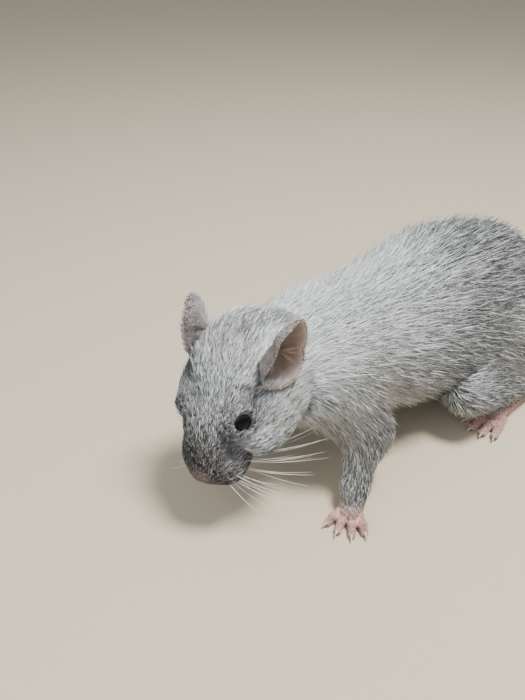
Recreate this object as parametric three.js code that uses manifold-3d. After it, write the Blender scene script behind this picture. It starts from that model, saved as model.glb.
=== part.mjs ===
// A life-size still model of a blue-grey degu, in millimetres.
// +Z is up and the animal faces -Y, so its left side is +X. It stands on four feet with its
// head bent down and turned to its left, and its tail lies behind it on the floor.
import * as THREE from "three";
import { mergeVertices } from "three/addons/utils/BufferGeometryUtils.js";
import Module from "manifold-3d";

const wasm = await Module();
wasm.setup();

// Driving dimensions of the animal, coat included
const HEAD_LENGTH = 48;
const TORSO_WIDTH = 51;
const BACK_HEIGHT = 69;
const BELLY_CLEARANCE = 9;
const EYE_RADIUS = 3.9;
const LID_THICKNESS = 0.6;
const EAR_LENGTH = 21;
const EAR_WIDTH = 15;
const EAR_THICKNESS = 0.9;
const WHISKER_LENGTH = 30;
const WHISKER_ROOT_RADIUS = 0.3;
const HINDFOOT_LENGTH = 35;
const CLAW_LENGTH = 3;
const TAIL_ROOT_RADIUS = 5;
const BRUSH_RADIUS = 6.5;
const LOCK_LENGTH = 17;

// Pose of the head: where its middle is, and how it is bent down, turned left and tipped
const HEAD_PLACE = new THREE.Vector3(4.5, -25.2, 45);
const HEAD_BEND = THREE.MathUtils.degToRad(51.8);
const HEAD_TURN = THREE.MathUtils.degToRad(23);
const HEAD_TIP = THREE.MathUtils.degToRad(-2);

// Gap that touching pieces keep, and the spacing of the surface points on each kind of piece
const GAP = 0.3;
const TORSO_STEP = 5;
const NECK_STEP = 3.8;
const HEAD_STEP = 2.7;
const LEG_STEP = 4.2;
const MUZZLE_STEP = 2.2;
const FOOT_STEP = 2.9;
const FAR = 900;

const MATERIALS = {
  coat: new THREE.MeshStandardMaterial({ color: 0x9a9ea0, roughness: 0.9, metalness: 0 }),
  ear_skin: new THREE.MeshStandardMaterial({ color: 0x8d827e, roughness: 0.7, metalness: 0 }),
  eye: new THREE.MeshStandardMaterial({ color: 0x0c0d10, roughness: 0.05, metalness: 0 }),
  foot_skin: new THREE.MeshStandardMaterial({ color: 0xc9a5a0, roughness: 0.7, metalness: 0 }),
  tail_brush: new THREE.MeshStandardMaterial({ color: 0x4a4b4d, roughness: 0.9, metalness: 0 }),
};

const vec = (x, y, z) => new THREE.Vector3(x, y, z);

// Seeded draws between 0 and 1, the same at every run
let seed = 20417;
function drawn() {
  seed = (seed * 48271) % 2147483647;
  return seed / 2147483647;
}
const mirrored = (v, side) => vec(v.x * side, v.y, v.z);

// Head frame: x to the left, y backwards and z up, with the middle of the skull at zero
const headFrame = new THREE.Matrix4()
  .makeRotationFromEuler(new THREE.Euler(HEAD_BEND, HEAD_TIP, HEAD_TURN, "ZXY"))
  .setPosition(HEAD_PLACE);
const smooth = (value) => THREE.MathUtils.smoothstep(value, 0, 1);
const onHead = (x, y, z) => vec(x, y, z).applyMatrix4(headFrame);

// Masses of flesh and coat. Each is a lump (an ellipsoid) or a taper (a limb between two round
// ends), and each melts into the ones before it over its blend length.
function lump(centre, radii, blend, frame = new THREE.Matrix4(), pitch = 0) {
  const placed = frame
    .clone()
    .multiply(new THREE.Matrix4().makeRotationX(pitch).setPosition(vec(...centre)));
  const inverse = placed.invert();
  const p = new THREE.Vector3();
  const [a, b, c] = radii;
  const distance = (x, y, z) => {
    p.set(x, y, z).applyMatrix4(inverse);
    const near = Math.hypot(p.x / a, p.y / b, p.z / c);
    const slope = Math.hypot(p.x / (a * a), p.y / (b * b), p.z / (c * c));
    return slope < 1e-9 ? -Math.min(a, b, c) : (near * (near - 1)) / slope;
  };
  return { distance, blend };
}

function taper(from, to, fromRadius, toRadius, blend) {
  const along = to.clone().sub(from);
  const lengthSq = along.lengthSq();
  const distance = (x, y, z) => {
    const dx = x - from.x;
    const dy = y - from.y;
    const dz = z - from.z;
    const share = (dx * along.x + dy * along.y + dz * along.z) / lengthSq;
    const t = Math.min(1, Math.max(0, share));
    const gap = Math.hypot(dx - along.x * t, dy - along.y * t, dz - along.z * t);
    return gap - (fromRadius + (toRadius - fromRadius) * t);
  };
  return { distance, blend };
}

// Torso: shoulders, ribs, belly, loin and rump, from named widths and heights
const halfWidth = TORSO_WIDTH / 2;
const halfDepth = (BACK_HEIGHT - BELLY_CLEARANCE) / 2;
const torsoMasses = [
  lump([0, 50, BELLY_CLEARANCE + 0.9 * halfDepth], [halfWidth, 32, 0.9 * halfDepth], 6),
  lump([0, 25, 37.5], [0.85 * halfWidth, 27, 0.76 * halfDepth], 12),
  lump([0, 6, 38], [0.74 * halfWidth, 19, 0.61 * halfDepth], 12),
  lump([0, 61, BACK_HEIGHT - 24.5], [0.82 * halfWidth, 29, 24], 10),
  lump([0, 81, 37], [0.9 * halfWidth, 22.5, 0.86 * halfDepth], 10),
  lump([0, 3, 33], [14, 13, 14], 8),
];

// Limbs: joints of each leg, before the mirror for the right side
const FORE_JOINTS = {
  left: { shoulder: vec(13, 4, 36), elbow: vec(22, 11, 22), wrist: vec(29.5, 2, 8), turn: 38 },
  right: { shoulder: vec(-13, 4, 36), elbow: vec(-19, 8, 22), wrist: vec(-17, -5, 8), turn: -8 },
};
const HIND_JOINTS = {
  left: { knee: vec(24, 56, 19), hock: vec(23, 92, 7), turn: 10 },
  right: { knee: vec(-24, 54, 19), hock: vec(-23, 90, 7), turn: -10 },
};
const PALM_HEIGHT = 2.6;
const SOLE_HEIGHT = 2.9;
const degrees = THREE.MathUtils.degToRad;
// A foot points along -Y, turned outwards by its own angle
const footWay = (turn) => vec(Math.sin(degrees(turn)), -Math.cos(degrees(turn)), 0);

function foreMasses({ shoulder, elbow, wrist, turn }) {
  const palm = wrist.clone().addScaledVector(footWay(turn), 3);
  palm.z = PALM_HEIGHT;
  const knuckles = palm.clone().addScaledVector(footWay(turn), 2.6);
  return [
    taper(shoulder, elbow, 10.5, 7.8, 9),
    taper(elbow, wrist, 6.6, 4, 6),
    taper(wrist, palm, 3.9, 3.2, 3),
    taper(palm, knuckles, 3.3, 2.9, 2),
  ];
}

function hindMasses({ knee, hock, turn }, side) {
  const thigh = [side * 17.5, 74, 27];
  const ball = hock.clone().addScaledVector(footWay(turn), 0.62 * HINDFOOT_LENGTH);
  ball.z = SOLE_HEIGHT;
  const heel = hock.clone();
  heel.z = SOLE_HEIGHT + 0.6;
  return [
    lump(thigh, [11, 21, 19], 8, undefined, degrees(-16)),
    taper(knee, hock, 9.5, 5.4, 8),
    taper(heel, ball, 4.1, 3.7, 3),
  ];
}

const limbMasses = [
  ...foreMasses(FORE_JOINTS.left),
  ...foreMasses(FORE_JOINTS.right),
  ...hindMasses(HIND_JOINTS.left, 1),
  ...hindMasses(HIND_JOINTS.right, -1),
];

// Head: skull, snout, cheeks and jaw in the head frame, with the nose end NOSE_Y in front
const NOSE_Y = -0.62 * HEAD_LENGTH;
const EYE_PLACE = vec(8.3, -7.5, 5);
const EYE_WAY = vec(0.83, -0.3, 0.47);
const headLump = (centre, radii, blend, pitch) => lump(centre, radii, blend, headFrame, pitch);
const bothSides = (centre, radii, blend) =>
  [1, -1].map((side) => headLump([side * centre[0], centre[1], centre[2]], radii, blend));
const headMasses = [
  headLump([0, 5, 1], [13.5, 14.5, 12.5], 8),
  headLump([0, -9, 1.2], [9.8, 14, 8.4], 5),
  headLump([0, NOSE_Y + 10, -2.8], [8.3, 9.6, 7.6], 4),
  headLump([0, NOSE_Y + 3.2, -2.6], [4.8, 3.6, 4.4], 2.5),
  ...bothSides([10.5, -4.6, -5.8], [7.8, 12.8, 9.8], 5),
  ...bothSides([5.3, NOSE_Y + 8, -4.6], [5.2, 6.8, 5.6], 2.5),
  ...bothSides([7.7, -7.4, 4.6], [4.7, 6.4, 4.6], 3),
  ...bothSides([10, 7.5, 4.2], [4.6, 5, 5], 4),
  headLump([0, -7.5, -9.6], [8.6, 14, 7], 4),
  headLump([0, NOSE_Y + 9, -10.4], [4.2, 5, 3], 2.5),
];

const neckMass = taper(vec(0, 5, 40), vec(2.4, -17, 46), 18, 14.6, 9);
const tailStub = taper(vec(0, 94, 29), vec(0, 109, 18), 9, TAIL_ROOT_RADIUS + 1, 8);
const bodyMasses = [...torsoMasses, neckMass, ...limbMasses, tailStub, ...headMasses];

// Distance from the skin of the melted masses, negative inside
function bodyDistance(x, y, z) {
  let near = FAR;
  for (const { distance, blend } of bodyMasses) {
    const next = distance(x, y, z);
    const overlap = Math.max(blend - Math.abs(near - next), 0) / blend;
    near = Math.min(near, next) - (overlap * overlap * blend) / 4;
  }
  return near;
}

// Whether each edge has exactly two triangles
function edgesPaired(triangles) {
  const uses = new Map();
  for (let n = 0; n < triangles.length; n += 3)
    for (const [a, b] of [[0, 1], [1, 2], [2, 0]]) {
      const key = [triangles[n + a], triangles[n + b]].sort((x, y) => x - y).join();
      uses.set(key, (uses.get(key) ?? 0) + 1);
    }
  return [...uses.values()].every((count) => count === 2);
}

// Surface of a distance field inside a box, as quads that follow a grid and are then pulled onto
// the surface, each split along its shorter diagonal
function surfaceOf(field, low, high, step) {
  const inBox = (x, y, z) =>
    Math.max(
      field(x, y, z),
      low.x - x, x - high.x, low.y - y, y - high.y, low.z - z, z - high.z,
    );
  const start = low.clone().addScalar(-1.5 * step);
  const counts = ["x", "y", "z"].map((k) => Math.ceil((high[k] - low[k]) / step) + 4);
  const [nx, ny, nz] = counts;
  const at = (i, j, k) => i + nx * (j + ny * k);
  const place = (i, j, k) => [start.x + i * step, start.y + j * step, start.z + k * step];
  const values = new Float64Array(nx * ny * nz);
  for (let k = 0; k < nz; k++)
    for (let j = 0; j < ny; j++)
      for (let i = 0; i < nx; i++) values[at(i, j, k)] = inBox(...place(i, j, k));

  const CORNERS = [0, 1, 2, 3, 4, 5, 6, 7].map((c) => [c & 1, (c >> 1) & 1, (c >> 2) & 1]);
  const vertexOf = new Map();
  const points = [];
  for (let k = 0; k < nz - 1; k++)
    for (let j = 0; j < ny - 1; j++)
      for (let i = 0; i < nx - 1; i++) {
        const sum = vec(0, 0, 0);
        let crossings = 0;
        for (const [a, b, c] of CORNERS)
          for (const [da, db, dc] of [[1, 0, 0], [0, 1, 0], [0, 0, 1]]) {
            if (a + da > 1 || b + db > 1 || c + dc > 1) continue;
            const here = values[at(i + a, j + b, k + c)];
            const there = values[at(i + a + da, j + b + db, k + c + dc)];
            if (here < 0 === there < 0) continue;
            const share = here / (here - there);
            sum.add(vec(a + da * share, b + db * share, c + dc * share));
            crossings++;
          }
        if (!crossings) continue;
        sum.divideScalar(crossings);
        vertexOf.set(at(i, j, k), points.length);
        points.push(vec(i, j, k).add(sum).multiplyScalar(step).add(start));
      }
  points.forEach((p) => pullOnto(inBox, p));

  const triangles = [];
  const addQuad = (quad, turned) => {
    const [a, b, c, d] = turned ? [...quad].reverse() : quad;
    const shortFirst =
      points[a].distanceToSquared(points[c]) <= points[b].distanceToSquared(points[d]);
    triangles.push(...(shortFirst ? [a, b, c, a, c, d] : [a, b, d, b, c, d]));
  };
  for (let k = 1; k < nz - 1; k++)
    for (let j = 1; j < ny - 1; j++)
      for (let i = 1; i < nx - 1; i++) {
        const inside = values[at(i, j, k)] < 0;
        const cell = (a, b, c) => vertexOf.get(at(i - a, j - b, k - c));
        if (inside !== values[at(i + 1, j, k)] < 0)
          addQuad([cell(0, 1, 1), cell(0, 0, 1), cell(0, 0, 0), cell(0, 1, 0)], !inside);
        if (inside !== values[at(i, j + 1, k)] < 0)
          addQuad([cell(1, 0, 1), cell(1, 0, 0), cell(0, 0, 0), cell(0, 0, 1)], !inside);
        if (inside !== values[at(i, j, k + 1)] < 0)
          addQuad([cell(1, 1, 0), cell(0, 1, 0), cell(0, 0, 0), cell(1, 0, 0)], !inside);
      }
  // Two sheets that share an edge come apart on a slightly finer grid
  return edgesPaired(triangles) ? geometryOf(points, triangles) : surfaceOf(field, low, high, step * 0.98);
}

// Moves a point onto the surface along the field's slope
function pullOnto(field, p) {
  const reach = 0.05;
  for (let turn = 0; turn < 3; turn++) {
    const value = field(p.x, p.y, p.z);
    const slope = vec(
      field(p.x + reach, p.y, p.z) - field(p.x - reach, p.y, p.z),
      field(p.x, p.y + reach, p.z) - field(p.x, p.y - reach, p.z),
      field(p.x, p.y, p.z + reach) - field(p.x, p.y, p.z - reach),
    ).divideScalar(2 * reach);
    const steep = slope.lengthSq();
    if (steep > 0.05) p.addScaledVector(slope, -value / Math.max(steep, 0.4));
  }
}

function geometryOf(points, triangles) {
  const geometry = new THREE.BufferGeometry().setFromPoints(points);
  return geometry.setIndex(triangles);
}

function solidOf(geometry) {
  const bare = new THREE.BufferGeometry();
  bare.setAttribute("position", geometry.getAttribute("position"));
  bare.setIndex(geometry.index);
  const merged = mergeVertices(bare, 1e-4);
  const made = new wasm.Manifold(
    new wasm.Mesh({
      numProp: 3,
      vertProperties: new Float32Array(merged.attributes.position.array),
      triVerts: new Uint32Array(merged.index.array),
    }),
  );
  if (made.volume() < 0) throw new Error("a piece is inside out");
  return made;
}

const fleshIn = (low, high, step) => solidOf(surfaceOf(bodyDistance, vec(...low), vec(...high), step));

// Everything on the far side of a plane, as a very large box
function beyond(point, normal) {
  const way = normal.clone().normalize();
  const box = new THREE.BoxGeometry(FAR, FAR, FAR);
  box.applyQuaternion(new THREE.Quaternion().setFromUnitVectors(vec(0, 0, 1), way));
  const middle = point.clone().addScaledVector(way, FAR / 2);
  return solidOf(box.translate(middle.x, middle.y, middle.z));
}

// A tube along points, with an elliptic section at each ring and a short point at both ends. Its
// depths are measured towards the side given by up, and its widths across that.
function loft(path, widths, depths, sides, up = vec(0, 0, 1)) {
  const count = widths.length;
  const curve = new THREE.CatmullRomCurve3(path);
  const points = [];
  for (let ring = 0; ring < count; ring++) {
    const t = ring / (count - 1);
    const centre = curve.getPoint(t);
    const along = curve.getTangent(t);
    const across = new THREE.Vector3().crossVectors(along, up);
    if (across.lengthSq() < 1e-3) across.set(1, 0, 0);
    across.normalize();
    const over = new THREE.Vector3().crossVectors(across, along).normalize();
    for (let s = 0; s < sides; s++) {
      const angle = (2 * Math.PI * s) / sides;
      points.push(
        centre
          .clone()
          .addScaledVector(across, widths[ring] * Math.cos(angle))
          .addScaledVector(over, depths[ring] * Math.sin(angle)),
      );
    }
  }
  const first = curve.getPoint(0).addScaledVector(curve.getTangent(0), -0.4 * depths[0]);
  const last = curve.getPoint(1).addScaledVector(curve.getTangent(1), 0.4 * depths[count - 1]);
  const triangles = [];
  for (let ring = 0; ring < count - 1; ring++)
    for (let s = 0; s < sides; s++) {
      const a = ring * sides + s;
      const b = ring * sides + ((s + 1) % sides);
      triangles.push(a, a + sides, b, b, a + sides, b + sides);
    }
  const firstIndex = points.push(first) - 1;
  const lastIndex = points.push(last) - 1;
  const end = (count - 1) * sides;
  for (let s = 0; s < sides; s++) {
    const next = (s + 1) % sides;
    triangles.push(firstIndex, s, next, lastIndex, end + next, end + s);
  }
  return solidOf(geometryOf(points, triangles));
}

const unionOf = (solids) => solids.reduce((all, one) => all.add(one));

// Triangles with their points on a grid of whole thousandths, without the slivers this closes up
function rounded(places, corners, grid) {
  const seen = new Map();
  const points = [];
  const indexOf = (n) => {
    const p = vec(...[0, 1, 2].map((k) => (Math.round((places[3 * n + k] * 1000) / grid) * grid) / 1000));
    const key = `${p.x},${p.y},${p.z}`;
    if (!seen.has(key)) seen.set(key, points.push(p) - 1);
    return seen.get(key);
  };
  const kept = new Map();
  for (let n = 0; n < corners.length; n += 3) {
    const triangle = [0, 1, 2].map((k) => indexOf(corners[n + k]));
    if (new Set(triangle).size < 3) continue;
    const key = [...triangle].sort((a, b) => a - b).join();
    if (kept.has(key)) kept.delete(key);
    else kept.set(key, triangle);
  }
  return { points, triangles: [...kept.values()].flat() };
}

// The largest closed body of a solid as a named mesh, on the finest grid that keeps it sound
function meshOf(name, solid, material) {
  const largest = solid
    .decompose()
    .reduce((best, one) => (one.volume() > best.volume() ? one : best));
  const { vertProperties, triVerts } = largest.getMesh();
  for (const grid of [1, 2, 4, 8, 16, 32]) {
    const { points, triangles } = rounded(vertProperties, triVerts, grid);
    if (!edgesPaired(triangles)) continue;
    const mesh = new THREE.Mesh(geometryOf(points, triangles), MATERIALS[material]);
    mesh.name = name;
    return mesh;
  }
  throw new Error(`${name} has an edge that is not shared by two triangles`);
}

const floorBlock = beyond(vec(0, 0, 0), vec(0, 0, -1));
const onFloor = (solid) => solid.subtract(floorBlock);

// Feet: digits and claws that grow from the palm or sole
function digit(from, way, length, radius, lift) {
  const tip = from.clone().addScaledVector(way, length);
  const knuckle = from.clone().lerp(tip, 0.5);
  knuckle.z = lift + 0.9;
  tip.z = lift * 0.8;
  const root = from.clone().addScaledVector(way, -1.6);
  const widths = [1, 0.94, 0.98, 0.6].map((share) => share * radius);
  const depths = [0.95, 0.88, 0.88, 0.55].map((share) => share * radius);
  return loft([root, from, knuckle, tip], widths, depths, 5);
}

function claw(tip, way, radius) {
  const end = tip.clone().addScaledVector(way, CLAW_LENGTH);
  end.z = 0.5;
  const root = tip.clone().addScaledVector(way, -1.2);
  const arch = tip.clone().addScaledVector(way, 0.4 * CLAW_LENGTH);
  arch.z = tip.z + 0.35;
  const widths = [0.52, 0.46, 0.12].map((share) => share * radius);
  return loft([root, arch, end], widths, widths.map((width) => 1.15 * width), 4);
}

function digitsOf(start, turn, lengths, spread, radius, lift) {
  const made = [];
  lengths.forEach((length, n) => {
    const share = n / (lengths.length - 1) - 0.5;
    const way = footWay(turn + spread * share);
    const side = footWay(turn + 90);
    const from = start.clone().addScaledVector(side, share * 2 * radius * (lengths.length - 1) * 0.78);
    from.z = lift;
    made.push(digit(from, way, length, radius, lift));
    const tip = from.clone().addScaledVector(way, length);
    tip.z = lift * 0.8;
    made.push(claw(tip, way, radius));
  });
  return made;
}

// Ear: a bowl with a rolled front edge, two walls joined round its rim, cut clear of the head.
// Rim knots run from the tip down the back edge and up the front one, as shares of the ear's
// length and width, with how far each stands out of the ear's plane in millimetres.
const EAR_RIM = [
  [1, -0.11, 0], [0.84, 0.12, 0.2], [0.67, 0.28, 0.4], [0.49, 0.39, 0.7],
  [0.4, 0.39, 1.1], [0.3, 0.47, 1.7], [0.16, 0.48, 2.8], [0.04, 0.4, 4.2],
  [-0.06, 0.21, 4.7], [-0.1, 0.01, 4.2], [-0.08, -0.16, 3], [0.09, -0.29, 2.4],
  [0.31, -0.31, 2.2], [0.52, -0.33, 1.6], [0.7, -0.35, 0.9], [0.86, -0.26, 0.3],
];
const EAR_FLOOR = vec(0.29 * EAR_LENGTH, 0.04 * EAR_WIDTH, -2);

function earRim(share) {
  const knots = EAR_RIM.map(([length, width, depth]) => vec(length * EAR_LENGTH, width * EAR_WIDTH, depth));
  return new THREE.CatmullRomCurve3(knots, true, "catmullrom", 0.5).getPoint(share);
}

function earShell(side, root, along, facing) {
  const axis = along.clone().normalize();
  const out = facing.clone().addScaledVector(axis, -facing.dot(axis)).normalize();
  const across = new THREE.Vector3().crossVectors(axis, out).multiplyScalar(side);
  const REACHES = [0.3, 0.58, 0.78, 0.92, 1];
  const AROUND = 22;
  const spot = (reach, share) => {
    const rim = earRim(((share % 1) + 1) % 1);
    const front = smooth((-rim.y - 1) / 2.6);
    const lowEnd = 1 - smooth(rim.x / 4);
    const spread = reach + (0.12 + 0.75 * front * (1 - lowEnd)) * reach * reach * (1 - reach);
    const steep = 2.2 + 2.6 * front + 1.2 * lowEnd;
    return root
      .clone()
      .addScaledVector(axis, EAR_FLOOR.x + (rim.x - EAR_FLOOR.x) * spread)
      .addScaledVector(across, EAR_FLOOR.y + (rim.y - EAR_FLOOR.y) * spread)
      .addScaledVector(out, EAR_FLOOR.z + (rim.z - EAR_FLOOR.z) * reach ** steep);
  };
  const walls = [[], []];
  for (const reach of REACHES)
    for (let n = 0; n < AROUND; n++) {
      const here = spot(reach, n / AROUND);
      const wide = spot(reach, n / AROUND + 0.02).sub(spot(reach, n / AROUND - 0.02));
      const tall = here.clone().sub(spot(reach - 0.08, n / AROUND));
      const way = new THREE.Vector3().crossVectors(wide, tall).multiplyScalar(side).normalize();
      walls[0].push(here.clone().addScaledVector(way, EAR_THICKNESS / 2));
      walls[1].push(here.clone().addScaledVector(way, -EAR_THICKNESS / 2));
    }
  const size = walls[0].length;
  const floor = spot(0, 0);
  const poles = [1, -1].map((way) => floor.clone().addScaledVector(out, (way * EAR_THICKNESS) / 2));
  const points = [...walls[0], ...walls[1], ...poles];
  const triangles = [];
  const add = (a, b, c) => triangles.push(...(side > 0 ? [a, b, c] : [a, c, b]));
  for (let n = 0; n < AROUND; n++) {
    const m = (n + 1) % AROUND;
    add(2 * size, m, n);
    add(2 * size + 1, size + n, size + m);
    for (let ring = 0; ring < REACHES.length - 1; ring++) {
      const [a, b] = [ring * AROUND + n, ring * AROUND + m];
      add(a, b, b + AROUND);
      add(a, b + AROUND, a + AROUND);
      add(size + a, size + b + AROUND, size + b);
      add(size + a, size + a + AROUND, size + b + AROUND);
    }
    const [a, b] = [size - AROUND + n, size - AROUND + m];
    add(a, b, b + size);
    add(a, b + size, a + size);
  }
  return solidOf(geometryOf(points, triangles));
}

// Eye, and the lids that stand round it with an almond opening
const eyeBall = (radius, centre, sides = 13) =>
  solidOf(new THREE.SphereGeometry(radius, sides, sides - 4).translate(centre.x, centre.y, centre.z));

function lidOpening(side) {
  const way = mirrored(EYE_WAY, side).normalize();
  const opening = new THREE.SphereGeometry(1, 14, 8);
  opening.scale(3.6, 3.05, 6);
  const across = vec(0, 1, 0.28).addScaledVector(way, -(way.y + 0.28 * way.z)).normalize();
  const up = new THREE.Vector3().crossVectors(way, across);
  const turned = new THREE.Matrix4().makeBasis(across, up, way);
  const middle = mirrored(EYE_PLACE, side).addScaledVector(way, EYE_RADIUS + 1.2);
  opening.applyMatrix4(turned.setPosition(middle)).applyMatrix4(headFrame);
  return solidOf(opening);
}

// Box that holds one leg: its inner face leans out at the top, and grow makes it larger all round
function legBlock(side, inner, top, lean, fromY, toY, grow = 0) {
  const box = new THREE.BoxGeometry(60 + grow, toY - fromY + 2 * grow, 90 + grow);
  box.translate(side * (30 - grow / 2), (fromY + toY) / 2, -45 + grow / 2);
  box.rotateY(side * degrees(lean));
  return solidOf(box.translate(side * inner, 0, top));
}

const group = new THREE.Group();
const add = (name, solid, material) => group.add(meshOf(name, solid, material));

// Cuts between the pieces: a point on each and the way to the piece behind it
const headBack = onHead(0, 1, 0).sub(onHead(0, 0, 0));
const CUTS = {
  neck: { point: vec(1.2, -12.5, 50), way: vec(-0.15, 1, -0.02) },
  chest: { point: vec(0, -0.5, 46), way: vec(0, 1, -0.16) },
  muzzle: { point: onHead(0, NOSE_Y + 13.5, 0), way: headBack },
  feet: { point: vec(0, 0, 6.3), way: vec(0, 0, 1) },
  tail: { point: vec(0, 104.5, 21.2), way: vec(0, 0.806, -0.592) },
};
const halfGap = (cut, side) =>
  cut.point.clone().addScaledVector(cut.way.clone().normalize(), (side * GAP) / 2);
const behind = (name) => beyond(halfGap(CUTS[name], 1), CUTS[name].way);
const before = (name) => beyond(halfGap(CUTS[name], -1), CUTS[name].way.clone().negate());

// Nostrils, line of the mouth and its lips, cut and raised on the muzzle
const ballAt = (x, y, z, radii) => {
  const ball = new THREE.SphereGeometry(1, 10, 7).scale(...radii);
  return solidOf(ball.translate(x, y, z).applyMatrix4(headFrame));
};
const nostrils = unionOf([1, -1].map((side) => ballAt(side * 2.1, NOSE_Y + 0.5, -1.6, [0.8, 1.5, 0.9])));
const MOUTH_LINE = [[8, 11.5, -9.2], [5.4, 6.2, -8.8], [2.6, 3.6, -7.6], [0, 3, -6.8]];
const mouthPath = (drop) => {
  const half = MOUTH_LINE.map(([x, y, z]) => onHead(x, NOSE_Y + y, z + drop));
  const other = MOUTH_LINE.slice(0, -1).map(([x, y, z]) => onHead(-x, NOSE_Y + y, z + drop));
  return [...half, ...other.reverse()];
};
const alongMouth = (drop, radius) =>
  loft(mouthPath(drop), [0.3, 0.7, 0.9, 1, 1, 1, 0.9, 0.7, 0.3].map((v) => v * radius),
    [0.3, 0.7, 0.9, 1, 1, 1, 0.9, 0.7, 0.3].map((v) => v * radius), 6);

const EARS = {
  left: { root: [12.2, 7, 5.8], along: [0.47, 0.74, 0.47], facing: [0.84, -0.52, 0] },
  right: { root: [-11.8, 6.6, 4.1], along: [0.13, 0.62, 0.77], facing: [-0.93, -0.19, 0.14] },
};
const eyeCentres = { left: EYE_PLACE.clone(), right: mirrored(EYE_PLACE, -1) };
const skull = fleshIn([-32, -66, 6], [44, -2, 86], HEAD_STEP).intersect(before("neck"));
let head = skull.intersect(behind("muzzle"));
for (const side of [1, -1]) {
  const centre = mirrored(EYE_PLACE, side).applyMatrix4(headFrame);
  head = head
    .add(eyeBall(EYE_RADIUS + GAP + LID_THICKNESS, centre))
    .subtract(eyeBall(EYE_RADIUS + GAP, centre))
    .subtract(lidOpening(side));
}
for (const ear of Object.values(EARS)) {
  const [root, along, facing] = [ear.root, ear.along, ear.facing].map((v) => vec(...v));
  root.addScaledVector(along, 2.6).addScaledVector(facing, 2.6);
  head = head.subtract(ballAt(root.x, root.y, root.z, [3.2, 3.4, 3.2]));
}
add("head", head, "coat");
for (const [name, place] of Object.entries(eyeCentres)) {
  add(`eye_${name}`, eyeBall(EYE_RADIUS, place.clone().applyMatrix4(headFrame), 15), "eye");
}

const snout = fleshIn([-14, -66, 6], [32, -18, 50], MUZZLE_STEP).intersect(before("muzzle"));
const muzzle = snout
  .add(alongMouth(0.9, 0.95))
  .add(alongMouth(-1, 0.9))
  .subtract(alongMouth(0, 0.5))
  .subtract(nostrils)
  .intersect(before("muzzle"));
add("muzzle", unionOf([muzzle, ...whiskers(1), ...whiskers(-1)]), "coat");

// Whiskers: tapered spines in two rows on each pad, sweeping out and back
function whiskers(side) {
  const made = [];
  for (let n = 0; n < 6; n++) {
    const row = n % 2;
    const share = n / 5;
    const way = vec(side * 0.86, -0.42 + 0.85 * share, -0.5 + 0.2 * row).normalize();
    const sweep = vec(side * -0.1, 0.3, -0.12);
    const middle = vec(side * 2.5, NOSE_Y + 5 + 4.4 * share, -6.4 + 2.2 * row);
    let depth = 0;
    const reach = (d) => onHead(...middle.clone().addScaledVector(way, d).toArray());
    while (bodyDistance(...reach(depth).toArray()) < 0) depth += 0.2;
    const length = WHISKER_LENGTH * (0.75 + 0.25 * share);
    const path = [-1.6, 0, 0.45 * length, length].map((d) => {
      const bend = sweep.clone().multiplyScalar((Math.max(0, d) ** 2 / length) * 0.55);
      const p = middle.clone().addScaledVector(way, depth + d).add(bend);
      return onHead(p.x, p.y, p.z);
    });
    const radii = [1, 1, 0.8, 0.35].map((v) => v * WHISKER_ROOT_RADIUS);
    made.push(loft(path, radii, radii, 3));
  }
  return made;
}

// Ears: each set its own way, as a degu turns them, and cut clear of the head
const headSkin = (x, y, z) => bodyDistance(x, y, z) - 0.4;
for (const [name, ear] of Object.entries(EARS)) {
  const root = onHead(...ear.root);
  const along = onHead(...ear.along).sub(onHead(0, 0, 0));
  const facing = onHead(...ear.facing).sub(onHead(0, 0, 0));
  const low = root.clone().addScalar(-11);
  const high = root.clone().addScalar(11);
  const around = solidOf(surfaceOf(headSkin, low, high, HEAD_STEP));
  add(`ear_${name}`, earShell(name === "left" ? 1 : -1, root, along, facing).subtract(around), "ear_skin");
}

// Neck and torso, with the blocks of the four legs taken out of them
const FORE_BLOCK = [12.5, 44, 16, -8, 23];
const HIND_BLOCK = [13.5, 46, 14, 42, 106];
const legBlocks = unionOf(
  [1, -1].flatMap((side) => [
    legBlock(side, ...FORE_BLOCK, GAP),
    legBlock(side, ...HIND_BLOCK, GAP),
  ]),
);
const neck = fleshIn([-36, -26, 2], [36, 8, 86], NECK_STEP);
add("neck", neck.intersect(behind("neck")).intersect(before("chest")).subtract(legBlocks), "coat");
const trunk = fleshIn([-48, -8, 3], [48, 116, 84], TORSO_STEP);
const torso = trunk.intersect(behind("chest")).intersect(before("tail")).subtract(legBlocks);
add("torso", torso, "coat");

// Legs above the feet cut, and feet below it with their digits and claws
for (const [name, side] of [["left", 1], ["right", -1]]) {
  const [x0, x1] = side > 0 ? [6, 46] : [-46, -6];
  const fore = fleshIn([x0, -18, 4], [x1, 26, 52], LEG_STEP);
  add(`foreleg_${name}`, fore.intersect(legBlock(side, ...FORE_BLOCK)).intersect(behind("feet")), "coat");
  const hind = fleshIn([x0, 38, 4], [x1, 110, 54], LEG_STEP);
  add(`hindleg_${name}`, hind.intersect(legBlock(side, ...HIND_BLOCK)).intersect(behind("feet")), "coat");

  const joints = FORE_JOINTS[name];
  const palmEnd = joints.wrist.clone().addScaledVector(footWay(joints.turn), 5.4);
  const palm = fleshIn([x0, -22, -3], [x1, 12, 9], FOOT_STEP).intersect(before("feet"));
  const fingers = digitsOf(palmEnd, joints.turn, [5.2, 6.6, 6.6, 5.2], 56, 1.35, 1.9);
  add(`forefoot_${name}`, onFloor(unionOf([palm, ...fingers])), "foot_skin");

  const { hock, turn } = HIND_JOINTS[name];
  const ball = hock.clone().addScaledVector(footWay(turn), 0.62 * HINDFOOT_LENGTH);
  const sole = fleshIn([x0, 60, -3], [x1, 104, 9], FOOT_STEP)
    .intersect(legBlock(side, ...HIND_BLOCK))
    .intersect(before("feet"));
  const toes = digitsOf(ball, turn, [8.4, 10.4, 10.4, 8.8], 26, 1.6, 2.1);
  add(`hindfoot_${name}`, onFloor(unionOf([sole, ...toes])), "foot_skin");
}

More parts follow.
